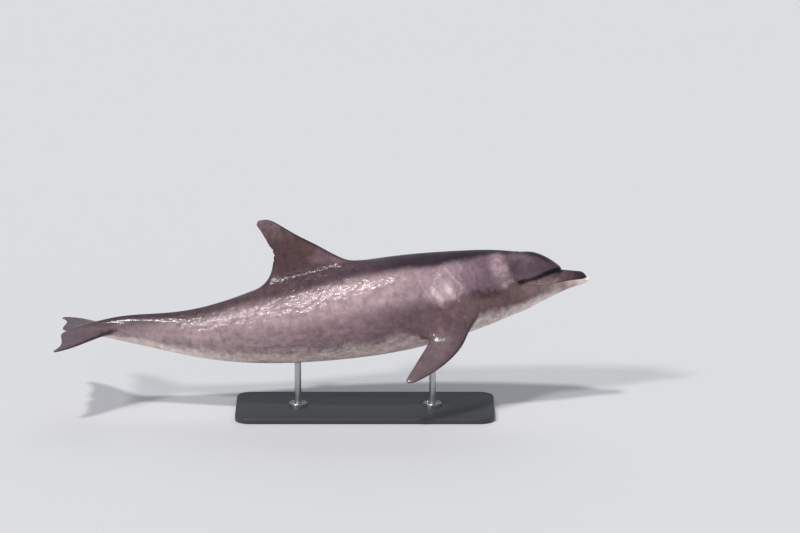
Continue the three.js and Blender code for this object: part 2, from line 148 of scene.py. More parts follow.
def straighten(points):
    """Each point's station, and how far left and up it is from the spine."""
    x, z = points[:, 0], points[:, 2]
    station = np.interp(-x, -SPINE_X, SPINE_STATIONS)
    for _ in range(STRAIGHTENING_ROUNDS):
        spine_x, spine_z = spine_point(station)
        angle = pitch(station)
        ahead = (x - spine_x) * np.cos(angle) + (z - spine_z) * np.sin(angle)
        station = station - ahead / LENGTH
    up = -(x - spine_x) * np.sin(angle) + (z - spine_z) * np.cos(angle)
    return station, points[:, 1], up


# ---- Body sections, in percent of the length ----

MELON_START = 0.051  # where the forehead rises from the beak
MELON_NOSE = 0.075  # length over which the forehead rounds up
UPPER_JAW_START = 0.0058  # the lower jaw reaches this far past the upper one
BEAK_NOSE = 0.012  # length of the beak's rounded end
CHEEK_END = 0.16  # behind this station only the trunk's outline counts
GAPE_CORNER = 0.112
LIP_DROP = 0.05  # how far the lower jaw's lip lies under the mouth line ahead of the upper jaw
TINY = 1e-6

BEAK_HALF_WIDTH, BEAK_TOP, BEAK_BOTTOM = splines(
    (0, 1.25, 0.6, 1.25), (0.02, 1.45, 1.0, 1.6), (0.04, 1.72, 1.48, 1.95), (0.06, 2.3, 1.9, 2.5),
    (0.085, 3.2, 2.4, 3.3), (0.12, 4.0, 2.9, 4.15), (0.16, 4.2, 3.0, 4.4),
)
BEAK_MIDDLE = spline(
    (0, -0.75), (0.006, -0.6), (0.014, -0.35), (0.03, -0.2), (0.05, -0.1), (0.08, 0), (0.16, 0.2),
)
MOUTH_HEIGHT = spline(
    (0, -0.25), (0.015, -0.2), (0.035, -0.08), (0.055, 0), (0.075, 0), (0.095, 0.2), (0.112, 0.8),
)
TRUNK_HALF_WIDTH, TRUNK_BOTTOM = splines(
    (0.051, 2.6, 0.5), (0.08, 3.6, 1.8), (0.12, 4.5, 4.0), (0.17, 5.6, 5.8), (0.24, 6.95, 7.35),
    (0.32, 7.9, 8.6), (0.42, 8.3, 9.1), (0.52, 7.75, 8.5), (0.62, 6.15, 7.0), (0.72, 4.25, 5.0),
    (0.82, 2.6, 3.3), (0.9, 1.6, 2.2), (0.95, 1.15, 1.2), (1, 0.35, 0.12),
)
TRUNK_TOP = spline(
    (0.051, 4.0), (0.068, 5.2), (0.084, 5.85), (0.101, 6.2), (0.118, 6.3), (0.138, 6.65), (0.17, 7.35),
    (0.235, 8.2), (0.33, 8.95), (0.43, 9.15), (0.52, 8.9), (0.62, 7.7), (0.72, 5.8),
    (0.82, 3.85), (0.9, 2.5), (0.95, 1.3), (1, 0.12),
)
TRUNK_MIDDLE = spline((0.051, 1.9), (0.08, 1.6), (0.13, 1.0), (0.2, 0.4), (0.4, 0.2), (0.7, 0.3), (1, 0))
UPPER_ROUNDNESS, LOWER_ROUNDNESS = splines(
    (0, 2.1, 2.2), (0.3, 2.05, 2.15), (0.6, 1.95, 1.95), (0.8, 1.7, 1.75), (0.9, 1.65, 1.65), (1, 1.9, 1.9),
)  # exponents of the sections' outlines: 2 is an ellipse, and less is more pointed
CREASE_BLEND = spline((0.051, 6 * MM), (0.075, 16 * MM), (0.12, 45 * MM), (0.16, 26 * MM))
RING_CENTRE = spline(
    (0, -0.75), (0.006, -0.6), (0.014, -0.35), (0.04, 0), (0.08, 0.8), (0.14, 0.8), (0.3, 0.4), (0.7, 0.3),
    (1, 0),
)  # the height of the place that a ring's points are counted round


def lower_jaw_section(station):
    """The lower jaw's end, up to its lip: half-width, reach above and below the widest place, its height."""
    nose = rounded_start(station, BEAK_NOSE)
    middle = BEAK_MIDDLE(station)
    above = np.maximum(MOUTH_HEIGHT(station) - LIP_DROP - middle, 0)
    below = BEAK_BOTTOM(station) + middle
    return [PERCENT * nose * part for part in (BEAK_HALF_WIDTH(station), above, below)], PERCENT * middle


def beak_section(station):
    """The beak, which grows out of the lip at the upper jaw's rounded end and holds both jaws behind it."""
    nose = rounded_start(station - UPPER_JAW_START, BEAK_NOSE)
    lip = MOUTH_HEIGHT(station) - LIP_DROP
    middle = lip + (BEAK_MIDDLE(station) - lip) * nose
    above = BEAK_TOP(station) - middle
    below = BEAK_BOTTOM(station) + middle
    return [PERCENT * nose * part for part in (BEAK_HALF_WIDTH(station), above, below)], PERCENT * middle


def trunk_section(station):
    nose = rounded_start(station - MELON_START, MELON_NOSE)
    middle = TRUNK_MIDDLE(station)
    half_width = TRUNK_HALF_WIDTH(station) * np.sqrt(nose)
    above = (TRUNK_TOP(station) - middle) * nose
    below = (TRUNK_BOTTOM(station) + middle) * nose
    return [PERCENT * part for part in (half_width, above, below)], PERCENT * middle


def outside(section, roundness, left, up):
    """How far points of a ring lie outside a section's outline, measured from the section's own centre."""
    (half_width, above, below), middle = section
    upper, lower = roundness
    rise = up - middle
    reach = np.maximum(np.where(rise >= 0, above, below), TINY)
    power = np.where(rise >= 0, upper, lower)
    width = np.maximum(half_width, TINY)
    share = (np.abs(left / width) ** power + np.abs(rise / reach) ** power) ** (1 / power)
    distance = np.hypot(left, rise)
    return distance - distance / np.maximum(share, TINY)


def soft_minimum(a, b, softness):
    overlap = np.maximum(softness - np.abs(a - b), 0) / softness
    return np.minimum(a, b) - overlap * overlap * softness / 4


RADIUS_LIMIT = 12 * PERCENT  # more than any section reaches
HALVINGS = 30


def skin_radius(station, angle):
    """The distance from the ring's centre to the skin, at an angle from the animal's left."""
    station, angle = np.broadcast_arrays(np.asarray(station, float), angle)
    centre = RING_CENTRE(station) * PERCENT
    roundness = UPPER_ROUNDNESS(station), LOWER_ROUNDNESS(station)
    lower_jaw, beak, trunk = lower_jaw_section(station), beak_section(station), trunk_section(station)
    softness = CREASE_BLEND(station)
    inner = np.zeros(station.shape)
    outer = np.full(station.shape, RADIUS_LIMIT)
    for _ in range(HALVINGS):
        radius = (inner + outer) / 2
        left = radius * np.cos(angle)
        up = centre + radius * np.sin(angle)
        from_beak = np.minimum(outside(lower_jaw, roundness, left, up), outside(beak, roundness, left, up))
        from_trunk = outside(trunk, roundness, left, up)
        both = soft_minimum(from_beak, from_trunk, softness)
        one = np.where(station < CHEEK_END, from_beak, from_trunk)
        distance = np.where((station > MELON_START) & (station < CHEEK_END), both, one)
        inner = np.where(distance < 0, radius, inner)
        outer = np.where(distance < 0, outer, radius)
    return inner


def ring_point(station, angle, radius):
    centre = RING_CENTRE(station) * PERCENT
    return body_point(station, radius * np.cos(angle), centre + radius * np.sin(angle))


def skin_point(station, angle):
    return ring_point(station, angle, skin_radius(station, angle))


# ---- Relief of the skin: mouth, eyelids, blowhole and folds ----

EYE_LOW, EYE_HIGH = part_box("eye_left")
EYE_RADIUS = (EYE_HIGH.z - EYE_LOW.z) / 2
EYE_MIDDLE = np.array([(EYE_LOW + EYE_HIGH) / 2])
EYE_STATION, EYE_LEFT, EYE_UP = (float(part[0]) for part in straighten(EYE_MIDDLE))
EYE_TILT = math.radians(-7)  # the eye's front corner lies lower than its rear one
EYE_HALF_LENGTH = 13 * MM  # of the opening between the lids
EYE_HALF_HEIGHT = 7.5 * MM
EYE_ROUNDNESS = 1.7  # under 2, so that the opening's corners are drawn out
LID_THICKNESS = 1.3 * MM
LID_BLEND = 6 * MM
EYE_REGION = 60 * MM  # the eye's relief ends this far from its middle
EYE_HOLLOW = 8 * MM  # how far the skin sinks behind the lids' edge
EYE_HOLLOW_EDGE = (1.04, 0.9)  # in half-sizes of the opening from the eye's middle
LID_PROFILE = [
    # half-sizes of the opening from the eye's middle, height and half-width of each ridge or fold
    ((1.14, 0.5 * MM, 0.12),),
    ((1.6, -1.3 * MM, 0.13), (2.15, -0.7 * MM, 0.15)),
    ((1.5, -0.8 * MM, 0.12), (1.95, -0.6 * MM, 0.14)),
]  # all round, above and below
FOLDS_START = (0.2, 0.65)  # sines of the slope from the eye's middle over which the folds deepen
CORNER_FOLD_SLOPES = (-0.55, -0.1, 0.35)  # of the folds that run out from the opening's corners
CORNER_FOLD = (0.8 * MM, 1.3 * MM)  # depth and half-width
CORNER_FOLD_START = (0, 4 * MM)  # past the corner, from nothing to the whole depth
CORNER_FOLD_END = (26 * MM, 8 * MM)

LIP_PROFILE = [
    # height over the mouth line, rise and half-width of the groove, the upper lip and the lower one
    (0, -3.2 * MM, 1.5 * MM), (4.5 * MM, 0.9 * MM, 3 * MM), (-5 * MM, 1.5 * MM, 3.6 * MM),
]
GROOVE_START = (UPPER_JAW_START, UPPER_JAW_START + 0.003)  # stations from which and to which it deepens
GROOVE_END = (GAPE_CORNER + 0.0015, GAPE_CORNER - 0.0035)

BLOWHOLE_STATION = 0.1305
BLOWHOLE_RADIUS = 19 * MM
BLOWHOLE_SPREAD = math.radians(62)  # half of the slit's arc
BLOWHOLE_FADE = 0.35  # radians over which the slit's ends fade
BLOWHOLE_PROFILE = [(0, -6 * MM, 2 * MM), (6.5 * MM, 1.8 * MM, 4.5 * MM)]  # the slit and its raised rim
BLOWHOLE_HOLLOW = (10 * MM, -3 * MM, 32 * MM)  # place behind the arc's centre, rise and half-width

NECK_CREASES = [
    # station, rise and half-width in stations
    (0.167, -0.5 * MM, 0.0013), (0.1765, -0.8 * MM, 0.0013), (0.187, -0.6 * MM, 0.0013),
    (0.199, -0.35 * MM, 0.0013),
]

SLIT_STATIONS = (0.622, 0.668)
SLIT_FADE = 0.002
SLIT_PROFILE = [(0, -3.5 * MM, 1.6 * MM), (6 * MM, 1.5 * MM, 5 * MM)]  # the slit and the swelling along it
NAVEL = (0.47, 2.5 * MM, 5 * MM, 0.6)  # station, depth, half-width, and that over its half-length
VENT = (0.69, 3 * MM, 3.5 * MM, 0.7)
EAR = (0.1525, 1.6 * MM, 1.7 * MM, 1)
EAR_UP = 0.75 * PERCENT


def profile(distance, rows):
    """The relief at a distance from a line, from rows of (distance, rise, half-width)."""
    return sum(rise * bump(distance - place, width) for place, rise, width in rows)


def pit(station, aside, place, depth, half_width, narrowness):
    """A small hollow at a station, drawn out along the body where its narrowness is under 1."""
    return -depth * bump(np.hypot((station - place) * LENGTH * narrowness, aside), half_width)


def mouth_offset(station, up):
    """How far above the mouth line a point lies."""
    return up - MOUTH_HEIGHT(station) * PERCENT


def mouth_relief(station, up):
    """The groove between the lips, up to the corner of the gape."""
    present = smooth_step(station, *GROOVE_END) * smooth_step(station, *GROOVE_START)
    return present * profile(mouth_offset(station, up), LIP_PROFILE)


def eye_place(station, up):
    """How far forward of the eye's middle and above it a point lies, along the tilted opening."""
    forward = (EYE_STATION - station) * LENGTH
    rise = up - EYE_UP
    along = forward * math.cos(EYE_TILT) + rise * math.sin(EYE_TILT)
    across = rise * math.cos(EYE_TILT) - forward * math.sin(EYE_TILT)
    return along, across


def eye_distance(along, across):
    """The distance from the eye's middle, in half-sizes of its opening."""
    lengthwise = np.abs(along / EYE_HALF_LENGTH) ** EYE_ROUNDNESS
    return (lengthwise + np.abs(across / EYE_HALF_HEIGHT) ** EYE_ROUNDNESS) ** (1 / EYE_ROUNDNESS)


def over_eyeball(station, angle, left, up, radius):
    """How far out of the skin, along its ring's radius, a ball about the eye's centre reaches."""
    along = (station - EYE_STATION) * LENGTH
    aside, rise = np.abs(left) - EYE_LEFT, up - EYE_UP
    past_middle = aside * np.abs(np.cos(angle)) + rise * np.sin(angle)
    off_axis = along ** 2 + aside ** 2 + rise ** 2 - past_middle ** 2
    reach = np.sqrt(np.maximum(radius ** 2 - off_axis, 0)) - past_middle
    return np.where(off_axis < radius ** 2, reach, -radius)


def eye_relief(station, angle, left, up):
    """Lids that lie over the eyeball, with the folds round them."""
    along, across = eye_place(station, up)
    distance = eye_distance(along, across)
    from_middle = np.hypot(along, across)
    lid = over_eyeball(station, angle, left, up, EYE_RADIUS + LID_THICKNESS)
    lids = -soft_minimum(-lid, 0 * lid, LID_BLEND)
    hollow = -EYE_HOLLOW * smooth_step(distance, *EYE_HOLLOW_EDGE)
    rim, upper_folds, lower_folds = (profile(distance, rows) for rows in LID_PROFILE)
    upright = smooth_step(np.abs(across) / np.maximum(from_middle, TINY), *FOLDS_START)
    folds = np.where(across > 0, upper_folds, lower_folds) * upright
    past_corner = np.abs(along) - EYE_HALF_LENGTH
    reach = smooth_step(past_corner, *CORNER_FOLD_START) * smooth_step(past_corner, *CORNER_FOLD_END)
    depth, width = CORNER_FOLD
    corner_folds = sum(bump(across - slope * past_corner, width) for slope in CORNER_FOLD_SLOPES)
    near = (np.abs(left) > EYE_LEFT / 2) & (from_middle < EYE_REGION)
    return (lids + rim + hollow + folds - depth * corner_folds * reach) * near


def blowhole_relief(station, left, up):
    """A crescent slit with a raised rim in a shallow hollow."""
    forward = (BLOWHOLE_STATION - station) * LENGTH - BLOWHOLE_RADIUS
    from_arc = np.abs(np.hypot(forward, left) - BLOWHOLE_RADIUS)
    turn = np.abs(np.arctan2(left, -forward))
    present = smooth_step(turn, BLOWHOLE_SPREAD + BLOWHOLE_FADE, BLOWHOLE_SPREAD - BLOWHOLE_FADE)
    place, rise, width = BLOWHOLE_HOLLOW
    hollow = rise * bump(np.hypot(forward + place, left), width)
    return (profile(from_arc, BLOWHOLE_PROFILE) * present + hollow) * (up > 0)


def neck_relief(station, angle):
    """Shallow creases behind the head and over the throat, strongest at the sides."""
    wave = 0.0016 * np.sin(3 * angle) + 0.0011 * np.sin(7 * angle + 1)
    return profile(station + wave, NECK_CREASES) * (0.35 + 0.65 * np.cos(angle) ** 2)


def belly_relief(station, left, up):
    """The navel, the long slit behind it and the vent."""
    start, end = SLIT_STATIONS
    slit = profile(np.abs(left), SLIT_PROFILE) * smooth_step(station, start - SLIT_FADE, start + SLIT_FADE)
    slit = slit * smooth_step(station, end + SLIT_FADE, end - SLIT_FADE)
    return (pit(station, left, *NAVEL) + slit + pit(station, left, *VENT)) * (up < 0)


def relief(station, angle, left, up):
    head = mouth_relief(station, up) + eye_relief(station, angle, left, up)
    head = head + blowhole_relief(station, left, up) + pit(station, up - EAR_UP, *EAR)
    return head + neck_relief(station, angle) + belly_relief(station, left, up)


# ---- The body's grid of rings ----

COLUMNS = 128
SEAM_COLUMN = 9  # the grid is cut open here, low on the left side
TAIL_END = 0.9985
FIRST_STEP = 0.00003
STEP_GROWTH = 0.3  # behind a rounded end, a step is at most this share of the way from it
RING_STEP = spline(
    (0, 0.0008), (0.04, 0.00105), (0.13, 0.00118), (0.2, 0.0023), (0.26, 0.005), (0.6, 0.0066),
    (0.85, 0.0052), (0.9, 0.003), (1, 0.0022),
)  # the distance from ring to ring
SIDE_CROWDING = spline((0, 0.45), (0.15, 0.45), (0.25, 0), (1, 0))  # draws columns to the head's sides


def ring_stations():
    """Stations of the rings, closest behind the places where a rounded end starts."""
    starts = [0, UPPER_JAW_START, MELON_START, TAIL_END]
    stations = []
    for start, end in zip(starts, starts[1:]):
        station = start + FIRST_STEP
        while station < end - FIRST_STEP:
            stations.append(station)
            station += min(float(RING_STEP(station)), STEP_GROWTH * (station - start))
    return np.array(stations + [TAIL_END])


def ring_angle(station, turn):
    """The angle from the animal's left, for a share of a turn that starts at the belly."""
    crowded = turn + SIDE_CROWDING(station) / (4 * math.pi) * np.sin(4 * math.pi * turn)
    return 2 * math.pi * (crowded - 0.25)


class Opening:
    """A stretch of the grid that a fin grows out of, centred on a column of the left side or the top."""

    def __init__(self, first_station, last_station, column, half_width):
        self.first = int(np.searchsorted(STATIONS, first_station))
        self.last = int(np.searchsorted(STATIONS, last_station))
        self.column = column
        self.half_width = half_width

    def holds(self, ring, column):
        """Whether the cell behind this ring, above this column, lies in the opening."""
        low = self.column - self.half_width
        return self.first <= ring < self.last and low <= column < self.column + self.half_width

    def edge(self, sign):
        """Rings and columns along its edge from the rear to the front, by the upper or lower way."""
        out = [(self.last, self.column + sign * k) for k in range(self.half_width)]
        forward = [(ring, self.column + sign * self.half_width) for ring in range(self.last, self.first, -1)]
        back = [(self.first, self.column + sign * k) for k in range(self.half_width, -1, -1)]
        return out + forward + back


STATIONS = ring_stations()
RINGS = len(STATIONS)
QUARTER_COLUMNS = COLUMNS // 4

DORSAL_OPENING = Opening(0.416, 0.603, 2 * QUARTER_COLUMNS, 7)
FLIPPER_OPENING = Opening(0.217, 0.325, QUARTER_COLUMNS - 13, 7)
FLUKE_OPENING = Opening(0.885, 0.9945, QUARTER_COLUMNS, 13)


def in_opening(ring, column):
    if DORSAL_OPENING.holds(ring, column):
        return True
    for opening in (FLIPPER_OPENING, FLUKE_OPENING):
        if opening.holds(ring, column) or opening.holds(ring, COLUMNS - 1 - column):
            return True
    return False


def vertex(ring, column):
    """The grid's vertex number, for a column counted from the belly."""
    return ring * (COLUMNS + 1) + (column - SEAM_COLUMN) % COLUMNS


EYE_ANGLE = math.atan2(EYE_UP - RING_CENTRE(EYE_STATION) * PERCENT, EYE_LEFT)
SIDE_TURNS = np.linspace(0.25, 0.45, 401)
EYE_TURN = float(np.interp(EYE_ANGLE, ring_angle(EYE_STATION, SIDE_TURNS), SIDE_TURNS))
EYE_REFINEMENTS = ((0.0155, 0.05), (0.0105, 0.031), (0.0072, 0.02))  # half-lengths and half-widths
REFINED = [
    # middle station, turn, half-length in stations, half-width in turns, and how often its cells are halved
    *((EYE_STATION, turn, *size, 1) for size in EYE_REFINEMENTS for turn in (EYE_TURN, 1 - EYE_TURN)),
    (0.128, 0.5, 0.013, 0.05, 2),
    (NAVEL[0], 0, 0.012, 0.012, 2),
    (0.655, 0, 0.045, 0.016, 2),
]  # round the eyes, the blowhole, the navel, and the slit with the vent
MOUTH_REFINEMENTS = ((UPPER_JAW_START, 8 * MM), (0.06, 3 * MM))  # first station, reach from the mouth line


def parameter_grid():
    """The grid as a flat mesh whose x is the station and y the turn, with the openings left out."""
    flat = bmesh.new()
    rows = []
    for station in STATIONS:
        turns = (SEAM_COLUMN + np.arange(COLUMNS + 1)) / COLUMNS
        rows.append([flat.verts.new((station, turn, 0)) for turn in turns])
    for i in range(RINGS - 1):
        for j in range(COLUMNS):
            if not in_opening(i, (j + SEAM_COLUMN) % COLUMNS):
                flat.faces.new((rows[i][j], rows[i + 1][j], rows[i + 1][j + 1], rows[i][j + 1]))
    return flat


def near_mouth(first_station, reach):
    def near(station, turn):
        angle = ring_angle(station, turn)
        up = RING_CENTRE(station) * PERCENT + skin_radius(station, angle) * np.sin(angle)
        along = (station > first_station) & (station < GAPE_CORNER + 0.003)
        return along & (np.abs(mouth_offset(station, up)) < reach) & (np.abs(np.cos(angle)) > 0.5)

    return near


def near_place(station, turn, half_length, half_width):
    def near(stations, turns):
        off_turn = (turns - turn + 0.5) % 1 - 0.5
        return ((stations - station) / half_length) ** 2 + (off_turn / half_width) ** 2 < 1

    return near


def refine(flat, near):
    """Halves the cells whose middles are near something."""
    faces = list(flat.faces)
    middles = np.array([face.calc_center_median()[:2] for face in faces])
    chosen = near(middles[:, 0], middles[:, 1])
    edges = {edge for face, is_chosen in zip(faces, chosen) if is_chosen for edge in face.edges}
    bmesh.ops.subdivide_edges(flat, edges=list(edges), cuts=1, use_grid_fill=True)


class Skin:
    """Points, faces and what each point or face corner knows, gathered before the mesh is made.

    A point's fin facts are how much of it is fin, its shares of the span and chord, and 1 under the fin.
    """

    def __init__(self):
        self.points = []
        self.fin_facts = []
        self.faces = []
        self.unwrapped = []  # each face's corners on the UV map
        self.faired = []  # points round the fins' roots, which are smoothed at the end

    def add_points(self, points, fin=0.0, span=0.0, chord=0.0, under=0.0):
        first = len(self.points)
        self.points.extend(points)
        facts = [np.broadcast_to(fact, len(points)) for fact in (fin, span, chord, under)]
        self.fin_facts.extend(zip(*facts))
        return list(range(first, first + len(points)))

    def add_face(self, corners, places):
        self.faces.append(corners)
        self.unwrapped.append(places)


BODY_MAP_TOP = 0.62  # the body fills the UV map up to here, and the fins the rest
BODY_MAP_MARGIN = 0.004


def body_map_place(station, turn):
    across = turn - SEAM_COLUMN / COLUMNS
    width, height = 1 - 2 * BODY_MAP_MARGIN, BODY_MAP_TOP - 2 * BODY_MAP_MARGIN
    return BODY_MAP_MARGIN + width * station, BODY_MAP_MARGIN + height * across


def add_body(skin):
    flat = parameter_grid()
    for *place, halvings in REFINED:
        for _ in range(halvings):
            refine(flat, near_place(*place))
    for stretch in MOUTH_REFINEMENTS:
        refine(flat, near_mouth(*stretch))
    flat.verts.index_update()
    station, turn = np.array([v.co[:2] for v in flat.verts], float).T
    angle = ring_angle(station, turn)
    radius = skin_radius(station, angle)
    centre = RING_CENTRE(station) * PERCENT
    radius = radius + relief(station, angle, radius * np.cos(angle), centre + radius * np.sin(angle))
    skin.add_points(ring_point(station, angle, radius))
    seam = {i * (COLUMNS + 1) + COLUMNS: i * (COLUMNS + 1) for i in range(RINGS)}
    for face in flat.faces:
        corners = [v.index for v in face.verts]
        places = [body_map_place(v.co.x, v.co.y) for v in face.verts]
        skin.add_face([seam.get(c, c) for c in corners], places)
    flat.free()


def close_end(skin, ring):
    loop = [vertex(ring, column) for column in range(COLUMNS)]
    middle = np.mean([skin.points[v] for v in loop], axis=0)
    tip = skin.add_points([middle])[0]
    for j in range(COLUMNS):
        place = body_map_place(STATIONS[ring], (j + 0.5) / COLUMNS + 0.1)
        skin.add_face([loop[j], loop[(j + 1) % COLUMNS], tip], [place] * 3)


# ---- Fins ----

THICKEST = 0.1  # the section's formula peaks near this
FIN_EDGE = 1.2 * MM  # half the thickness at a fin's rear edge
TIP_SPAN = 0.955  # from this share of the span the tip rounds off
TIP_END = 1.0005  # just past the last loop, so that its two faces keep apart


def fin_section(along):
    """A section's thickness as a share of its greatest, from the front edge at 0 to the rear one at 1."""
    rounded = 0.2969 * np.sqrt(along) - 0.126 * along - 0.3516 * along ** 2
    return (rounded + 0.2843 * along ** 3 - 0.1036 * along ** 4) / THICKEST


class Fin:
    """A fin in a frame of its own: out along its span, forward along its chord, and normal to both.

    outline gives the front edge's places out and forward and then the rear edge's, in mm, over the share of
    the span, and half_thickness is likewise in mm. The tip lies droop mm below the root's plane. nicks are
    (place out, depth, half-width).
    """

    def __init__(self, outline, half_thickness, droop, origin, axes, nicks=()):
        self.outline = outline
        self.half_thickness = half_thickness
        self.droop = droop
        self.origin = np.array(origin)
        self.axes = np.array(axes)
        self.nicks = nicks

    def place(self, span, along, sign):
        """Points on the fin, for shares of the span and chord, on the upper (1) or lower (-1) face."""
        roundness = np.sqrt(np.clip(1 - ((span - TIP_SPAN) / (TIP_END - TIP_SPAN)).clip(0, 1) ** 2, 0, 1))
        front_out, front_forward, rear_out, rear_forward = (curve(span) for curve in self.outline)
        share = 0.5 + (along - 0.5) * roundness
        out = front_out + (rear_out - front_out) * share
        forward = front_forward + (rear_forward - front_forward) * share
        for place, depth, width in self.nicks:
            forward = forward + depth * bump(out - place, width) * along ** 16
        thick = fin_section(along) * self.half_thickness(span) * MM + FIN_EDGE * along
        lift = sign * thick * roundness * (along > 0) - self.droop * span ** 2 * MM
        return self.origin + np.stack([out * MM, forward * MM, lift], -1) @ self.axes


def fore_and_up(slope):
    """Unit vectors forward along a slope in the animal's middle plane, and square to it."""
    return np.array([math.cos(slope), 0, math.sin(slope)]), np.array([-math.sin(slope), 0, math.cos(slope)])


DORSAL_STATIONS = (0.427, 0.584)
NICKS = [
    # out along the span, depth and half-width of a notch in the dorsal fin's rear edge, in mm
    (84, 2.5, 6), (101, 4, 4), (109, 2.5, 3), (126, 5.5, 5), (136, 3, 3), (152, 6, 6), (163, 2, 3.5),
    (205, 1.5, 6),
]


def dorsal_fin():
    base_front, base_rear = (skin_point(station, math.pi / 2) for station in DORSAL_STATIONS)
    forward = (base_front - base_rear) / np.linalg.norm(base_front - base_rear)
    outline = splines(
        (0, -40, 404, -40, -18), (0.1, 4, 358, 8, -10), (0.25, 60, 292, 62, -3), (0.45, 127, 221, 124, 21),
        (0.62, 186, 154, 176, 14), (0.78, 239, 101, 230, 0), (0.9, 279, 60, 264, -11),
        (0.97, 297, 28, 286, -17), (1, 302, 6, 296, -15),
    )
    half_thickness = spline((0, 30), (0.12, 23), (0.3, 17), (0.5, 13), (0.7, 9.5), (0.85, 6.5), (1, 2))
    axes = ((-forward[2], 0, forward[0]), forward, (0, -1, 0))
    return Fin(outline, half_thickness, 0, base_rear, axes, NICKS)


FLIPPER_STATION = 0.272
FLIPPER_ANGLE = math.radians(-36)
FLIPPER_DROOP = math.radians(-44)  # the span's slope, out and down
FLIPPER_INCIDENCE = math.radians(-12)  # the chord's slope to the spine, front edge down


def flipper(side):
    outline = splines(
        (0, -45, 100, -45, -70), (0.12, 0, 86, 0, -70), (0.3, 72, 66, 52, -80), (0.5, 150, 22, 118, -108),
        (0.7, 222, -46, 182, -140), (0.87, 276, -118, 246, -172), (0.96, 300, -163, 284, -190),
        (1, 304, -180, 297, -193),
    )
    half_thickness = spline((0, 27), (0.12, 21), (0.3, 16), (0.5, 12), (0.7, 8.5), (0.87, 5), (1, 2))
    origin = skin_point(FLIPPER_STATION, FLIPPER_ANGLE) * (1, side, 1)
    forward, up = fore_and_up(pitch(FLIPPER_STATION) + FLIPPER_INCIDENCE)
    outward = np.array([0, side, 0])
    out = outward * math.cos(FLIPPER_DROOP) + up * math.sin(FLIPPER_DROOP)
    normal = up * math.cos(FLIPPER_DROOP) - outward * math.sin(FLIPPER_DROOP)
    return Fin(outline, half_thickness, 20, origin, (out, forward, normal))


FLUKE_STATION = 0.905
FLUKE_PITCH_STATION = 0.96


def fluke(side):
    outline = splines(
        (0, 1, 8, 1, -216), (0.12, 26, -8, 22, -243), (0.3, 84, -50, 64, -253), (0.5, 160, -108, 124, -247),
        (0.7, 232, -166, 188, -243), (0.87, 286, -222, 252, -254), (0.96, 306, -256, 290, -270),
        (1, 308, -268, 300, -275),
    )
    half_thickness = spline((0, 24), (0.12, 20), (0.3, 14.5), (0.5, 11), (0.7, 8), (0.87, 5), (1, 2))
    forward, normal = fore_and_up(pitch(FLUKE_PITCH_STATION))
    origin = body_point(FLUKE_STATION, 0, 0)
    return Fin(outline, half_thickness, 14, origin, ((0, side, 0), forward, normal))


def outside_body(points):
    """How far points lie outside the body, below 0 inside it."""
    station, left, up = straighten(points)
    rise = up - RING_CENTRE(station) * PERCENT
    beyond = (station - TAIL_END) * LENGTH
    return np.maximum(np.hypot(left, rise) - skin_radius(station, np.arctan2(rise, left)), beyond)


FOOT_LIMIT = 0.4  # no line of a fin leaves the body beyond this share of the span
FOOT_HALVINGS = 14
FILLET_LOOPS = 9
FILLET_SPAN = 0.17  # how far up the fin the fillet reaches, as a share of the span
FILLET_GROWTH = (-0.15, 0.25)  # shares of the chord between which it grows to that
REAR_FILLET_SPAN = 0.04  # how much further it reaches at the fin's rear edge


def foot_spans(fin, along, sign):
    """The share of the span at which each of the fin's lines leaves the body."""
    inner = np.zeros(len(along))
    outer = np.full(len(along), FOOT_LIMIT)
    for _ in range(FOOT_HALVINGS):
        middle = (inner + outer) / 2
        is_outside = outside_body(fin.place(middle, along, sign)) > 0
        outer = np.where(is_outside, middle, outer)
        inner = np.where(is_outside, inner, middle)
    return outer


def fin_loops(skin, fin, base, along, sign, shares):
    """Loops of points from the opening's edge over a fillet and out to the fin's tip, and their spans."""
    foot_span = foot_spans(fin, along, sign)
    start = foot_span + FILLET_SPAN * smooth_step(along, *FILLET_GROWTH) + REAR_FILLET_SPAN * along ** 3
    foot, top = fin.place(foot_span, along, sign), fin.place(start, along, sign)
    loops, spans = [], [0 * start]
    for t in np.arange(1, FILLET_LOOPS + 1) / (FILLET_LOOPS + 1):
        curve = base * (1 - t) ** 2 + foot * 2 * t * (1 - t) + top * t ** 2
        spans.append(start * t)
        loops.append(skin.add_points(curve, t, spans[-1], along, sign < 0))
    for share in shares:
        spans.append(start + (1 - start) * share)
        points = fin.place(spans[-1], along, sign)
        loops.append(skin.add_points(points, 1.0, spans[-1], along, sign < 0))
    return loops, spans


def add_fin(skin, fin, opening, shares, mapped, is_mirrored=False):
    """Draws a fin out of its opening. mapped places a face, span and chord share on the UV map."""
    upper, lower = opening.edge(1), opening.edge(-1)
    steps = len(upper) - 1
    along = (1 + np.cos(np.pi * np.arange(steps + 1) / steps)) / 2
    along = np.concatenate([along, along[-2:0:-1]])
    sign = np.concatenate([np.ones(steps + 1), -np.ones(steps - 1)])
    edge = upper + lower[-2:0:-1]
    if is_mirrored:
        edge = [(ring, COLUMNS - column) for ring, column in edge]
    base_loop = [vertex(ring, column) for ring, column in edge]
    base = np.array([skin.points[v] for v in base_loop])
    loops, spans = fin_loops(skin, fin, base, along, sign, shares)
    loops.insert(0, base_loop)
    skin.faired.extend(v for loop in loops[:FILLET_LOOPS + 1] for v in loop)
    count = len(base_loop)
    for inner, outer, inner_span, outer_span in zip(loops, loops[1:], spans, spans[1:]):
        for k in range(count):
            following = (k + 1) % count
            side = 1 if k < steps else -1
            skin.add_face(
                [inner[k], inner[following], outer[following], outer[k]],
                [mapped(side, span[c], along[c]) for span, c in
                 ((inner_span, k), (inner_span, following), (outer_span, following), (outer_span, k))],
            )
    close_tip(skin, loops[-1], steps, along, mapped)


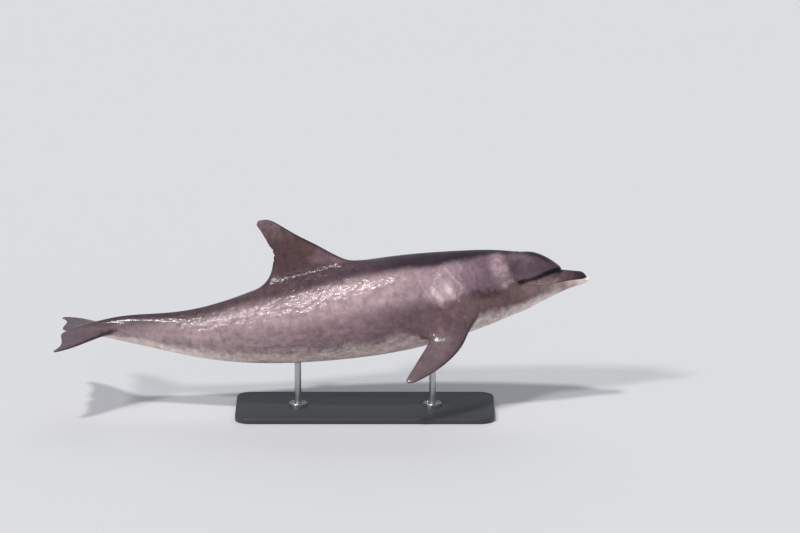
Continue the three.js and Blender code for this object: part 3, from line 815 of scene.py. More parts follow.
def close_tip(skin, loop, steps, along, mapped):
    """Joins the last loop's upper and lower faces along its chord."""
    for k in range(steps):
        corners = [loop[k], loop[k + 1], loop[-k - 1], loop[-k]]
        if k == 0:
            corners = [loop[0], loop[1], loop[-1]]
        elif k == steps - 1:
            corners = [loop[k], loop[k + 1], loop[-k]]
        skin.add_face(corners, [mapped(1, 1.0, along[k])] * len(corners))


FIN_MAP_MARGIN = 0.003
FIN_MAP_SPAN = 1.02  # the span that would fill the height of a fin's box


def fin_map(left, right):
    """Places a fin's two faces side by side in a box of the UV map, over the body's part."""
    bottom, top = BODY_MAP_TOP + 0.02, 1
    half = (right - left) / 2

    def mapped(face, span, along):
        x = left + (half if face < 0 else 0) + FIN_MAP_MARGIN + (half - 2 * FIN_MAP_MARGIN) * along
        return x, bottom + FIN_MAP_MARGIN + (top - bottom - 2 * FIN_MAP_MARGIN) * span / FIN_MAP_SPAN

    return mapped


TIP_CROWDING = 0.9
ROOT_LOOPS = 6
NICKED_SHARES = (0.14, 0.6)  # the dorsal fin's nicks lie this far out from its fillet
NICK_STEP = 0.0095
DORSAL_TIP_LOOPS = 22
LIMB_LOOPS = 36
DORSAL_MAP = (0, 0.4)  # where the fin starts and ends across the UV map
LIMB_MAPS = [
    # side, where its flipper and its fluke start and end
    (1, (0.42, 0.55), (0.72, 0.85)),
    (-1, (0.57, 0.7), (0.86, 0.99)),
]


def tip_shares(first, count):
    """Shares of the way out from first to 1, close together at the rounded tip."""
    return first + (1 - first) * np.sin(np.pi / 2 * np.arange(count + 1) / count) ** TIP_CROWDING


def dorsal_shares():
    """As tip_shares, with loops close enough over the fin's lower rear edge to shape its nicks."""
    first, last = NICKED_SHARES
    root = np.linspace(0, first, ROOT_LOOPS + 1)[:-1]
    tip = tip_shares(last + 0.01, DORSAL_TIP_LOOPS)
    return np.concatenate([root, np.arange(first, last, NICK_STEP), tip])


def add_fins(skin):
    add_fin(skin, dorsal_fin(), DORSAL_OPENING, dorsal_shares(), fin_map(*DORSAL_MAP))
    shares = tip_shares(0, LIMB_LOOPS)
    for side, flipper_map, fluke_map in LIMB_MAPS:
        add_fin(skin, flipper(side), FLIPPER_OPENING, shares, fin_map(*flipper_map), side < 0)
        add_fin(skin, fluke(side), FLUKE_OPENING, shares, fin_map(*fluke_map), side < 0)


# ---- Guides for the markings ----

CAPE_EDGE = spline(
    (0.05, 1.9), (0.06, 2.7), (0.07, 3.6), (0.08, 4.4), (0.095, 5.3), (0.11, 5.8), (0.13, 6.3), (0.17, 7.0),
    (0.24, 7.1), (0.28, 7.0), (0.34, 7.3), (0.4, 7.4), (0.44, 7.2), (0.5, 6.6), (0.55, 6.05), (0.62, 5.7),
    (0.66, 5.4), (0.72, 4.1), (0.82, 2.2), (0.9, 1.1), (1, 0),
)  # the height of the dark cape's lower edge, in percent of the length
STRIPE_HEIGHT = spline(
    (0.045, 1.9), (0.055, 2.1), (0.063, 2.26), (0.073, 2.27), (0.083, 2.11), (0.093, 1.94), (0.11, 1.81),
    (0.13, 1.7),
)  # the dark stripe from the beak's root to the eye, likewise
STRIPE_START = 0.053


def add_marking_guides(mesh, points, fin_facts):
    """Attributes that the skin's material reads: where each point lies on the straightened body and fins."""
    station, left, up = straighten(points)
    fin, span, chord, under = fin_facts.T
    rise = up - RING_CENTRE(station) * PERCENT
    belly = -rise / np.maximum(np.hypot(left, rise), TINY)
    beyond_stripe = np.maximum(np.maximum(STRIPE_START - station, station - EYE_STATION), 0) * LENGTH
    guides = {
        "cape_height": up - CAPE_EDGE(station) * PERCENT,
        "mouth_height": mouth_offset(station, up),
        "stripe_distance": np.hypot(up - STRIPE_HEIGHT(station) * PERCENT, beyond_stripe),
        "belly": belly + (under - belly) * fin,
        "fin": fin,
        "span": span,
        "chord": chord,
    }
    for name, values in guides.items():
        mesh.attributes.new(name, "FLOAT", "POINT").data.foreach_set("value", values.astype(np.float32))
    straight = np.stack([station * LENGTH, left, up], -1).astype(np.float32)
    mesh.attributes.new("straight", "FLOAT_VECTOR", "POINT").data.foreach_set("vector", straight.ravel())


# ---- Fairing of the fins' roots ----

FAIRED_STEPS = 3  # how many points past the fins' roots are smoothed too
FAIRING_ROUNDS = 400


def grown(chosen, edges, steps):
    """Marks the points within some steps along edges of the chosen ones."""
    for _ in range(steps):
        touched = edges[chosen[edges].any(axis=1)]
        chosen = chosen.copy()
        chosen[touched] = True
    return chosen


def fair(points, edges, roots):
    """Moves the points near the fins' roots until the skin bends there as evenly as a thin plate.

    A point's bend is how far its neighbours' middle lies from it. The sum of the squared bends is made
    least by conjugate gradients.
    """
    is_root = np.zeros(len(points), bool)
    is_root[roots] = True
    is_free = grown(is_root, edges, FAIRED_STEPS)
    is_near = grown(is_free, edges, 2)
    number = np.cumsum(is_near) - 1
    a, b = number[edges[is_near[edges].all(axis=1)]].T
    place = points[is_near]
    count = len(place)
    free = is_free[is_near][:, None]
    counted = grown(is_free, edges, 1)[is_near][:, None]
    neighbours = (np.bincount(a, minlength=count) + np.bincount(b, minlength=count))[:, None]

    def summed(values):
        """The sum of each point's neighbours' values."""
        sums = [np.bincount(a, column[b], count) + np.bincount(b, column[a], count) for column in values.T]
        return np.stack(sums, -1)

    def slope(values):
        """How the sum of squared bends changes as each free point moves."""
        bends = (summed(values) / neighbours - values) * counted
        return (summed(bends / neighbours) - bends) * free

    residual = -slope(place)
    direction = residual
    size = (residual ** 2).sum()
    for _ in range(FAIRING_ROUNDS):
        change = slope(direction)
        step = size / (direction * change).sum()
        place = place + step * direction
        residual = residual - step * change
        next_size = (residual ** 2).sum()
        direction = residual + next_size / size * direction
        size = next_size
    points[is_near] = place


# ---- The skin's mesh ----

def finish_mesh(mesh, shape):
    """Gives a mesh the closed shape of a bmesh, shaded smooth and with its faces turned outward."""
    bmesh.ops.recalc_face_normals(shape, faces=shape.faces)
    shape.to_mesh(mesh)
    shape.free()
    mesh.shade_smooth()


def skin_mesh():
    skin = Skin()
    add_body(skin)
    close_end(skin, 0)
    close_end(skin, RINGS - 1)
    add_fins(skin)
    used = np.unique(np.concatenate([np.array(face) for face in skin.faces]))
    number = np.full(len(skin.points), -1)
    number[used] = np.arange(len(used))
    points = np.array([skin.points[v] for v in used])
    mesh = bpy.data.meshes.new("dolphin_skin")
    mesh.from_pydata(points, [], [[int(number[c]) for c in face] for face in skin.faces])
    edges = np.array([edge.vertices for edge in mesh.edges])
    fair(points, edges, number[np.unique(skin.faired)])
    mesh.vertices.foreach_set("co", points.astype(np.float32).ravel())
    unwrapped = np.array([place for places in skin.unwrapped for place in places], float)
    mesh.uv_layers.new(name="OFBake").data.foreach_set("uv", unwrapped.ravel())
    add_marking_guides(mesh, points, np.array([skin.fin_facts[v] for v in used]))
    shape = bmesh.new()
    shape.from_mesh(mesh)
    finish_mesh(mesh, shape)
    return mesh


def add_piece(mesh, material, slot, *nodes):
    """An object of the mesh, which rides on the root and replaces some nodes."""
    piece = bpy.data.objects.new(mesh.name, mesh)
    bpy.context.scene.collection.objects.link(piece)
    mesh.materials.append(material)
    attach(piece, "root")
    if nodes:
        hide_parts(*nodes)
    return piece


# ---- Node trees for materials ----

def tone(*srgb):
    """A colour given as it shows on screen, from 0 to 255."""
    shares = [part / 255 for part in srgb]
    linear = [((c + 0.055) / 1.055) ** 2.4 if c > 0.04 else c / 12.92 for c in shares]
    return (*linear, 1.0)


def tones(*rows):
    """A ramp's stops, from rows of (place, red, green, blue)."""
    return [(place, tone(*srgb)) for place, *srgb in rows]


class Material:
    """A material's node tree. Inputs may be numbers, colours, vectors or other nodes' outputs."""

    def __init__(self, name, **constants):
        self.material = bpy.data.materials.new(name)
        self.material.use_nodes = True
        self.tree = self.material.node_tree
        self.shader = self.tree.nodes["Principled BSDF"]
        for socket, value in constants.items():
            self.shader.inputs[socket.replace("_", " ")].default_value = value

    def node(self, kind, inputs, **settings):
        node = self.tree.nodes.new("ShaderNode" + kind)
        for key, value in settings.items():
            setattr(node, key, value)
        for socket, value in inputs.items():
            self.feed(node.inputs[socket], value)
        return node.outputs

    def feed(self, socket, value):
        if isinstance(value, bpy.types.NodeSocket):
            self.tree.links.new(value, socket)
        else:
            socket.default_value = value

    def set(self, socket, value):
        self.feed(self.shader.inputs[socket], value)

    def attribute(self, name, output="Fac"):
        return self.node("Attribute", {}, attribute_name=name)[output]

    def math(self, operation, a, b=0.0, c=0.0, clamp=False):
        return self.node("Math", {0: a, 1: b, 2: c}, operation=operation, use_clamp=clamp)[0]

    def add(self, *values):
        return reduce(lambda a, b: self.math("ADD", a, b), values)

    def times(self, *values):
        return reduce(lambda a, b: self.math("MULTIPLY", a, b), values)

    def minus(self, a, b):
        return self.math("SUBTRACT", a, b)

    def over(self, a, b):
        return self.math("DIVIDE", a, b)

    def length(self, x, y):
        return self.math("SQRT", self.add(self.times(x, x), self.times(y, y)))

    def vector(self, x, y, z):
        return self.node("CombineXYZ", {0: x, 1: y, 2: z})[0]

    def scaled(self, vector, *scale):
        return self.node("VectorMath", {0: vector, 1: scale}, operation="MULTIPLY")[0]

    def ease(self, value, start, end, low=0.0, high=1.0):
        """From low at start to high at end, smoothly, and level beyond them."""
        inputs = {"Value": value, "From Min": start, "From Max": end, "To Min": low, "To Max": high}
        return self.node("MapRange", inputs, interpolation_type="SMOOTHSTEP")[0]

    def mix(self, share, a, b, blend="MIX"):
        inputs = {0: share, 6: a, 7: b}
        return self.node("Mix", inputs, data_type="RGBA", blend_type=blend)[2]

    def noise(self, vector, scale, detail=2.0, roughness=0.5, distortion=0.0):
        """Noise about 0, from about -0.5 to 0.5."""
        inputs = {"Vector": vector, "Scale": scale, "Detail": detail}
        inputs.update(Roughness=roughness, Distortion=distortion)
        return self.minus(self.node("TexNoise", inputs)["Fac"], 0.5)

    def ramp(self, value, *stops):
        """A colour that changes smoothly through stops of (place from 0 to 1, colour)."""
        node = self.tree.nodes.new("ShaderNodeValToRGB")
        node.color_ramp.interpolation = "EASE"
        elements = node.color_ramp.elements
        while len(elements) < len(stops):
            elements.new(0.5)
        for element, (place, color) in zip(elements, stops):
            element.position = place
            element.color = color
        self.feed(node.inputs[0], value)
        return node.outputs[0]

    def bumps(self, *layers):
        """Bumps the surface and its clear coat by layers of (height from -0.5 to 0.5, depth in metres)."""
        normal = None
        for height, depth in layers:
            inputs = {"Height": height, "Distance": depth}
            if normal:
                inputs["Normal"] = normal
            normal = self.node("Bump", inputs)[0]
        self.set("Normal", normal)
        self.set("Coat Normal", normal)


# ---- Skin ----

CAPE_TONES = tones(
    # share of the length, colour
    (0.05, 30, 20, 31), (0.12, 34, 23, 33), (0.2, 35, 23, 33), (0.34, 42, 28, 39), (0.44, 68, 50, 59),
    (0.6, 76, 57, 63), (1, 58, 45, 52),
)
# Flank colours along the length; the darker front, from the beak's root back past the neck, is painted shade
# on the head's side.
FLANK_AND_HEAD_SHADE_TONES = tones(
    (0.05, 78, 59, 67), (0.13, 84, 65, 74), (0.175, 104, 82, 92), (0.21, 108, 86, 97), (0.27, 144, 120, 129),
    (0.36, 151, 126, 133), (0.5, 162, 138, 143), (0.7, 152, 130, 135), (1, 112, 93, 99),
)
# The lower side's colours: darker than the flank above, as painted shade.
LOW_FLANK_SHADE_TONES = tones(
    (0.05, 140, 117, 117), (0.16, 98, 74, 75), (0.22, 98, 75, 77), (0.33, 100, 75, 82), (0.5, 128, 104, 110),
    (0.8, 150, 130, 134), (1, 122, 104, 109),
)
BELLY_TONE = tone(224, 203, 197)
UPPER_JAW_TONES = tones(
    # share of the way back to the forehead, colour
    (0, 42, 32, 40), (0.48, 40, 30, 38), (0.64, 70, 51, 58), (1, 80, 60, 66),
)
LOWER_JAW_TONES = tones((0, 255, 240, 222), (0.25, 242, 222, 208), (0.7, 186, 162, 158), (1, 150, 126, 127))
STRIPE_AND_CREASE_SHADE_TONE = tone(10, 7, 10)
LID_TONE = tone(30, 22, 25)
FIN_TONE = tone(77, 54, 55)
FIN_TIP_TONE = tone(116, 94, 99)
FIN_PALE_TONE = tone(126, 98, 105)
FIN_RIM_TONE = tone(44, 31, 42)
LIMB_TONE = tone(90, 71, 77)
LIMB_UNDER_TONE = tone(150, 128, 132)
LOW_CHEEK_SHADE_TONE = tone(50, 31, 33)
SCAR_AND_GLINT_TONE = tone(230, 209, 208)
DARK_PATCH_AND_SHADE_TONE = tone(70, 52, 62)
BROAD_PALE_TONE = tone(170, 144, 152)
CROWN_TONE = tone(112, 88, 94)

# Marks are on both of the animal's sides (0), its left one (1) or its right one (-1).
BLOTCHES = [
    # along from the beak's tip and up, half-length and half-height in m, slope, colour, strength, side
    (0.334, 0.104, 0.052, 0.027, 0.5, DARK_PATCH_AND_SHADE_TONE, 0.8, 0),
    (0.398, 0.124, 0.038, 0.066, -0.2, BROAD_PALE_TONE, 0.8, 0),
    (0.308, 0.142, 0.074, 0.015, 0.23, CROWN_TONE, 0.7, 0),
    (0.372, 0.044, 0.036, 0.014, -0.5, SCAR_AND_GLINT_TONE, 0.3, -1),
    # a dark patch low on the head behind the gape: painted shade
    (0.475, 0.020, 0.095, 0.024, 0.12, LOW_CHEEK_SHADE_TONE, 0.9, 0),
    (0.664, 0.062, 0.060, 0.052, -0.3, SCAR_AND_GLINT_TONE, 0.34, -1),
    (0.634, 0.066, 0.018, 0.044, -0.5, SCAR_AND_GLINT_TONE, 0.5, -1),
    (0.704, 0.072, 0.018, 0.034, -0.6, SCAR_AND_GLINT_TONE, 0.45, -1),
    (0.690, 0.046, 0.014, 0.044, -0.25, SCAR_AND_GLINT_TONE, 0.5, -1),
    # a broad dark patch low on the flank behind the flippers: painted shade
    (0.800, 0.022, 0.160, 0.040, 0.05, DARK_PATCH_AND_SHADE_TONE, 0.36, 0),
    (0.900, 0.095, 0.060, 0.022, -0.2, SCAR_AND_GLINT_TONE, 0.18, -1),
    (0.560, 0.070, 0.050, 0.016, 0.3, SCAR_AND_GLINT_TONE, 0.35, 1),
    (1.250, 0.020, 0.030, 0.055, -0.4, SCAR_AND_GLINT_TONE, 0.3, 1),
]
SCRATCHES = [
    # start and end, along from the beak's tip and up in m, half-width in mm, strength, side
    (0.655, 0.170, 0.704, 0.110, 3.6, 0.38, -1),
    (0.641, 0.161, 0.588, 0.088, 4.0, 0.38, -1),
    (0.588, 0.088, 0.566, 0.064, 2.8, 0.26, -1),
    (0.569, 0.172, 0.580, 0.078, 4.0, 0.3, -1),
    (0.580, 0.078, 0.600, 0.014, 3.6, 0.36, -1),
    (0.530, 0.150, 0.520, 0.092, 3.0, 0.16, -1),
    (0.905, 0.150, 0.872, 0.060, 2.8, 0.22, -1),
    (0.760, 0.120, 0.735, 0.060, 2.8, 0.2, -1),
    (0.860, 0.060, 0.930, 0.118, 2.4, 0.36, 1),
    (0.868, 0.050, 0.940, 0.108, 2.2, 0.32, 1),
    (0.878, 0.042, 0.948, 0.098, 2.0, 0.28, 1),
    (0.500, 0.130, 0.560, 0.060, 2.4, 0.3, 1),
    (1.420, 0.090, 1.520, 0.060, 2.6, 0.3, 1),
]


SCRATCH_STRENGTH = 0.62
CAPE_STRENGTH = 0.97
LIP_STRENGTH = 0.65
EYE_PATCH = (0.022, 0.014, 0.1)  # half-length and half-height in m, and slope
EYE_PATCH_STRENGTH = 0.95
STRIPE_HALF_WIDTHS = (0.0125, 0.009)  # at its front and its rear end
FIN_PALE_STRENGTH = 0.8
FIN_RIM_STRENGTH = 0.7
# the pale specks are painted glints of water droplets; the scars are real
SPECK_STRENGTH = 0.3
SPECK_SIZES = (0.008, 0.014)
SPECK_SHARE = 0.3  # of the cells that hold a speck
SATURATION = 0.93

# Soft borders: where one colour is whole and where the next one is.
# the flank goes into the lower side's painted shade, and that into the pale belly
FLANK_TO_LOW_SHADE = (-0.32, 0.15)  # on the belly guide, which is -1 on the back and 1 under the belly
LOW_SHADE_TO_BELLY = (0.45, 0.92)
CAPE_BORDER = (-1.0, 1.2)  # in softnesses over the cape's edge
HEAD_TO_JAWS = (0.2, 0.115)  # in metres from the beak's tip
LOWER_TO_UPPER_JAW = (-0.001, 0.0015)  # in metres over the mouth line
UPPER_LIP = (0.004, 0.0)
LOWER_LIP = (-0.005, -0.001)
STRIPE_EDGE = (0.006, -0.005)  # in metres outside the stripe
STRIPE_END = (0.33, 0.29)  # in metres from the beak's tip
SKIN_TO_FIN = (0.1, 1.0)  # shares of fin in a point
DORSAL_TO_LIMB = (0.14, 0.1)  # in metres over the spine
DORSAL_TO_TIP = (0.6, 1.0)  # shares of the span
DORSAL_TO_PALE_ROOT = (0.55, 0.2)
DORSAL_TO_PALE_FRONT = (0.5, 0.15)  # shares of the chord
FRONT_RIM = (0.09, 0.01)
REAR_RIM = (0.95, 1.0)
REAR_RIM_STRENGTH = 0.5
LIMB_TO_UNDER = (0.2, 0.9)  # on the belly guide
SPECKS_OVER = (0.1, 0.15)  # in metres over the spine
SPECKS_AHEAD = (0.38, 0.46)  # stations
SPECKS_BEHIND = (0.68, 0.6)

# Strengths that change between two places, given after them.
STRIPE_FADING = (0.12, 0.3, 1.0, 0.85)  # in metres from the beak's tip
CAPE_WAVINESS = (0.2, 0.4, 0.012, 0.028)
CAPE_SOFTNESS = (0.25, 0.55, 0.005, 0.012)
REAR_CAPE_SOFTNESS = (0.6, 1.3, 0.0, 0.012)
RIPPLE_AHEAD = (0.65, 1.2, 0.12, 1.7)
RIPPLE_BEHIND = (2.1, 1.7, 0.1, 1.0)
RIPPLE_ON_FINS = (0.0, 0.8, 1.0, 0.12)  # shares of fin in a point
BROKEN_RANGE = (-0.16, 0.1, 0.35, 1.0)  # values of the noise
CLOUDY_RANGE = (-0.2, 0.1, 0.45, 1.0)
SPECKS_RANGE = (-0.12, 0.1, 0.15, 1.0)

# Noises over the skin: scale per metre, detail, roughness and distortion.
WOBBLE = (9, 4, 0.55)
FINE_WOBBLE = (45, 3, 0.6)
RAGGED = (26, 2, 0.5)
BROKEN = (70, 3, 0.6)
CLOUDY = (38, 4, 0.65)
CLOUDS = (26, 4, 0.6, 0.6)
STREAKS = (55, 4, 0.65, 1)
RIPPLE = (34, 1.5, 0.45)
SPRAY = (105, 2, 0.6)
SWELL = (7, 2)
GRAIN = (420, 2)
SWELL_DEPTH = 2.5 * MM
RIPPLE_DEPTH = 5 * MM
SPRAY_DEPTH = 0.5 * MM
GRAIN_DEPTH = 0.12 * MM


def on_side(m, left, side):
    """1 on both sides for 0, on the left one for 1 and on the right one for -1."""
    return m.ease(left, -0.01 * side, 0.01 * side) if side else 1.0


def blotch(m, place, along, up, half_length, half_height, slope):
    """How much of a soft-edged oval covers a place, given as along and up."""
    x, z = m.minus(place[0], along), m.minus(place[1], up)
    tilted_x = m.over(m.add(x, m.times(z, slope)), half_length)
    tilted_z = m.over(m.minus(z, m.times(x, slope)), half_height)
    return m.ease(m.length(tilted_x, tilted_z), 1.5, 0.25)


def scratch(m, place, start_along, start_up, end_along, end_up, half_width):
    """How much of a thin straight mark covers a place, given as along and up."""
    run, rise = end_along - start_along, end_up - start_up
    square = run ** 2 + rise ** 2
    x, z = m.minus(place[0], start_along), m.minus(place[1], start_up)
    share = m.add(m.times(x, run / square), m.times(z, rise / square))
    share = m.math("MULTIPLY", share, 1.0, clamp=True)
    distance = m.length(m.minus(x, m.times(share, run)), m.minus(z, m.times(share, rise)))
    return m.ease(distance, half_width * 2.2, 0.0)


def body_color(m, station, belly, wobble):
    """Flank, lower side and belly; the lower side's darker colour is painted shade."""
    flank, low = m.ramp(station, *FLANK_AND_HEAD_SHADE_TONES), m.ramp(station, *LOW_FLANK_SHADE_TONES)
    color = m.mix(m.ease(m.add(belly, wobble), *FLANK_TO_LOW_SHADE), flank, low)
    return m.mix(m.ease(m.add(belly, wobble), *LOW_SHADE_TO_BELLY), color, BELLY_TONE)


def cape_share(m, along, height, wobble):
    """The dark cape over the back, whose edge is sharp on the head and soft behind it."""
    height = m.add(height, m.times(wobble, m.ease(along, *CAPE_WAVINESS)))
    softness = m.add(m.ease(along, *CAPE_SOFTNESS), m.ease(along, *REAR_CAPE_SOFTNESS))
    return m.times(m.ease(m.over(height, softness), *CAPE_BORDER), CAPE_STRENGTH)


def jaw_color(m, color, along, mouth_height, wobble):
    """Adds both jaws, which fade into the cheeks."""
    share = m.times(along, 1 / (MELON_START * LENGTH))
    upper, lower = m.ramp(share, *UPPER_JAW_TONES), m.ramp(share, *LOWER_JAW_TONES)
    jaws = m.mix(m.ease(mouth_height, *LOWER_TO_UPPER_JAW), lower, upper)
    at_lips = m.times(m.ease(mouth_height, *UPPER_LIP), m.ease(mouth_height, *LOWER_LIP), LIP_STRENGTH)
    jaws = m.mix(at_lips, jaws, LID_TONE)
    return m.mix(m.ease(m.add(along, m.times(wobble, 0.05)), *HEAD_TO_JAWS), color, jaws)


def stripe_share(m, along, distance, wobble):
    """The dark stripe from the beak's root to the eye, widest and darkest at the front, where it is partly
    painted shade in the crease between beak and forehead.
    """
    half_width = m.ease(along, MELON_START * LENGTH, 0.28, *STRIPE_HALF_WIDTHS)
    reach = m.minus(m.add(distance, m.times(wobble, 0.008)), half_width)
    stripe = m.times(m.ease(reach, *STRIPE_EDGE), m.ease(along, *STRIPE_END))
    return m.times(stripe, m.ease(along, *STRIPE_FADING))


def fin_color(m, color, fin, span, chord, up, belly, wobble):
    """Adds the dorsal fin, with a pale front, and the darker flippers and flukes, all with dark rims."""
    dorsal = m.mix(m.ease(m.add(span, m.times(wobble, 0.3)), *DORSAL_TO_TIP), FIN_TONE, FIN_TIP_TONE)
    limb = m.mix(m.ease(m.add(belly, wobble), *LIMB_TO_UNDER), LIMB_TONE, LIMB_UNDER_TONE)
    pale = m.times(m.ease(m.add(chord, wobble), *DORSAL_TO_PALE_FRONT), m.ease(span, *DORSAL_TO_PALE_ROOT))
    dorsal = m.mix(m.times(pale, FIN_PALE_STRENGTH), dorsal, FIN_PALE_TONE)
    whole = m.mix(m.ease(up, *DORSAL_TO_LIMB), dorsal, limb)
    rim = m.math("MAXIMUM", m.ease(chord, *FRONT_RIM), m.ease(chord, *REAR_RIM, 0.0, REAR_RIM_STRENGTH))
    whole = m.mix(m.times(rim, FIN_RIM_STRENGTH), whole, FIN_RIM_TONE)
    return m.mix(m.ease(fin, *SKIN_TO_FIN), color, whole)


def marked(m, color, place, left, cloudy, broken):
    """Adds blotches and scratches to a colour. cloudy and broken, from 0 to 1, break them up."""
    for along, up, half_length, half_height, slope, tint, strength, side in BLOTCHES:
        share = blotch(m, place, along, up, half_length, half_height, slope)
        color = m.mix(m.times(share, strength, cloudy, on_side(m, left, side)), color, tint)
    for *ends, half_width, strength, side in SCRATCHES:
        share = scratch(m, place, *ends, half_width * MM)
        share = m.times(share, strength, SCRATCH_STRENGTH, broken, on_side(m, left, side))
        color = m.mix(share, color, SCAR_AND_GLINT_TONE)
    return color


def specks(m, place, size):
    """Small specks of many widths, scattered over some of the cells of a grid of this size."""
    cells = m.node("TexVoronoi", {"Vector": place, "Scale": 1 / size, "Randomness": 1.0})
    chance, width, _ = m.node("SeparateColor", {0: cells["Color"]})
    reach = m.add(m.times(width, 0.2), 0.07)
    speck = m.ease(m.over(cells["Distance"], reach), 1.2, 0.5)
    return m.times(speck, m.ease(chance, SPECK_SHARE + 0.02, SPECK_SHARE - 0.02))


def painted_droplet_glints(m, color, straight, up, station, fin, wobble):
    """Paints pale specks over the back round the dorsal fin, as painted glints of water droplets."""
    wet = m.times(m.ease(up, *SPECKS_OVER), m.ease(station, *SPECKS_AHEAD), m.ease(station, *SPECKS_BEHIND))
    patchy = m.times(m.ease(wobble, *SPECKS_RANGE), m.ease(fin, 0.9, 0.3))
    small, large = SPECK_SIZES
    both = m.add(specks(m, straight, small), specks(m, m.scaled(straight, 1.0, 1.0, 1.4), large))
    return m.mix(m.times(both, wet, patchy, SPECK_STRENGTH), color, SCAR_AND_GLINT_TONE)


def mottled(m, color, straight, wobble, fine_wobble):
    """Makes a colour brighter and darker in clouds and upright streaks."""
    streaks = m.noise(m.scaled(straight, 1.0, 0.3, 0.2), *STREAKS)
    clouds = m.noise(straight, *CLOUDS)
    mottle = m.add(m.times(wobble, 0.6), m.times(clouds, 1.05), m.times(fine_wobble, 0.7))
    brightness = m.add(mottle, m.times(streaks, 0.45), 1.0)
    return m.mix(1.0, color, m.vector(brightness, brightness, brightness), "MULTIPLY")


def skin_color(m, straight, wobble, fine_wobble):
    along, left, up = m.node("SeparateXYZ", {0: straight})
    station = m.times(along, 1 / LENGTH)
    belly, fin, span, chord = (m.attribute(name) for name in ("belly", "fin", "span", "chord"))
    both = m.add(wobble, m.times(fine_wobble, 0.5))

    color = body_color(m, station, belly, m.times(both, 0.3))
    ragged = m.noise(straight, *RAGGED)
    warped = [m.add(part, m.times(both, 0.03), m.times(ragged, 0.03)) for part in (along, up)]
    broken = m.ease(m.noise(straight, *BROKEN), *BROKEN_RANGE)
    cloudy = m.ease(m.noise(straight, *CLOUDY), *CLOUDY_RANGE)
    color = marked(m, color, warped, left, cloudy, broken)
    cape = cape_share(m, along, m.attribute("cape_height"), both)
    color = m.mix(cape, color, m.ramp(station, *CAPE_TONES))
    color = jaw_color(m, color, along, m.attribute("mouth_height"), both)
    # the stripe is a real marking, and its dark front also paints the shade in the crease at the beak's root
    color = m.mix(stripe_share(m, along, m.attribute("stripe_distance"), both), color, STRIPE_AND_CREASE_SHADE_TONE)
    eye = blotch(m, [along, up], EYE_STATION * LENGTH, EYE_UP, *EYE_PATCH)
    color = m.mix(m.times(eye, EYE_PATCH_STRENGTH), color, LID_TONE)
    color = fin_color(m, color, fin, span, chord, up, belly, both)
    color = painted_droplet_glints(m, color, straight, up, station, fin, wobble)
    color = mottled(m, color, straight, wobble, fine_wobble)
    return m.node("HueSaturation", {"Saturation": SATURATION, "Color": color})[0]


def skin_material():
    """Wet skin: a fine grain under a thin film of water, which ripples most between head and tail stock."""
    m = Material(
        "dolphin_skin", Coat_Weight=0.55, Coat_Roughness=0.12, Coat_IOR=1.33, IOR=1.36,
        Specular_IOR_Level=0.3,
    )
    straight = m.attribute("straight", "Vector")
    wobble, fine_wobble = m.noise(straight, *WOBBLE), m.noise(straight, *FINE_WOBBLE)
    m.set("Base Color", skin_color(m, straight, wobble, fine_wobble))
    along = m.node("SeparateXYZ", {0: straight})[0]
    place = m.add(along, m.times(wobble, 0.4))
    rippled = m.times(m.ease(place, *RIPPLE_AHEAD), m.ease(place, *RIPPLE_BEHIND))
    rippled = m.times(rippled, m.ease(m.attribute("fin"), *RIPPLE_ON_FINS))
    m.set("Roughness", m.add(m.times(fine_wobble, 0.25), m.times(rippled, -0.1), 0.45))
    ripple = m.times(m.noise(m.scaled(straight, 0.6, 1.0, 1.0), *RIPPLE), rippled)
    spray = m.times(m.noise(straight, *SPRAY), rippled)
    swell, grain = m.noise(straight, *SWELL), m.noise(straight, *GRAIN)
    m.bumps((swell, SWELL_DEPTH), (ripple, RIPPLE_DEPTH), (spray, SPRAY_DEPTH), (grain, GRAIN_DEPTH))
    return m.material


def make_skin():
    flesh = (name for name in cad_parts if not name.startswith(("stand_", "eye_")))
    add_piece(skin_mesh(), skin_material(), "skin", *flesh)


# ---- Closed shapes, as points and faces ----

ROUND_STEPS = 96
SHARP_ANGLE = math.radians(32)
MERGE_DISTANCE = 0.01 * MM


def turned(profile, x, y=0.0, steps=ROUND_STEPS):
    """A closed profile of (radius, height), turned about an upright axis."""
    points, faces = [], []
    count = len(profile)
    for i in range(steps):
        angle = 2 * math.pi * i / steps
        points += [(x + r * math.cos(angle), y + r * math.sin(angle), z) for r, z in profile]
        for j in range(count):
            here, across = i * count, (i + 1) % steps * count
            if profile[j][0] or profile[(j + 1) % count][0]:
                faces.append((here + j, here + (j + 1) % count, across + (j + 1) % count, across + j))
    return points, faces


def lofted(loops):
    """Points and faces through loops of the same length, with both ends closed."""
    count = len(loops[0])
    points = sum(loops, [])
    faces = []
    for r in range(len(loops) - 1):
        for j in range(count):
            k = (j + 1) % count
            faces.append((r * count + j, r * count + k, (r + 1) * count + k, (r + 1) * count + j))
    faces.append(tuple(range(count)))
    faces.append(tuple(range(len(points) - count, len(points))))
    return points, faces


def rounded_corner(radius, z, size, turns):
    """Profile points round an upper outer edge that ends at a radius and height."""
    angles = [math.pi / 2 * k / turns for k in range(turns + 1)]
    return [(radius - size + size * math.cos(a), z - size + size * math.sin(a)) for a in angles]


def joined(*parts):
    points, faces = [], []
    for part_points, part_faces in parts:
        start = len(points)
        points += part_points
        faces += [tuple(start + k for k in face) for face in part_faces]
    return points, faces


def mesh_of(name, points, faces):
    """A mesh that is smooth but for its sharp edges."""
    mesh = bpy.data.meshes.new(name)
    mesh.from_pydata(points, [], faces)
    merged = bmesh.new()
    merged.from_mesh(mesh)
    bmesh.ops.remove_doubles(merged, verts=merged.verts, dist=MERGE_DISTANCE)
    finish_mesh(mesh, merged)
    mesh.set_sharp_from_angle(angle=SHARP_ANGLE)
    return mesh


# ---- Eyes ----

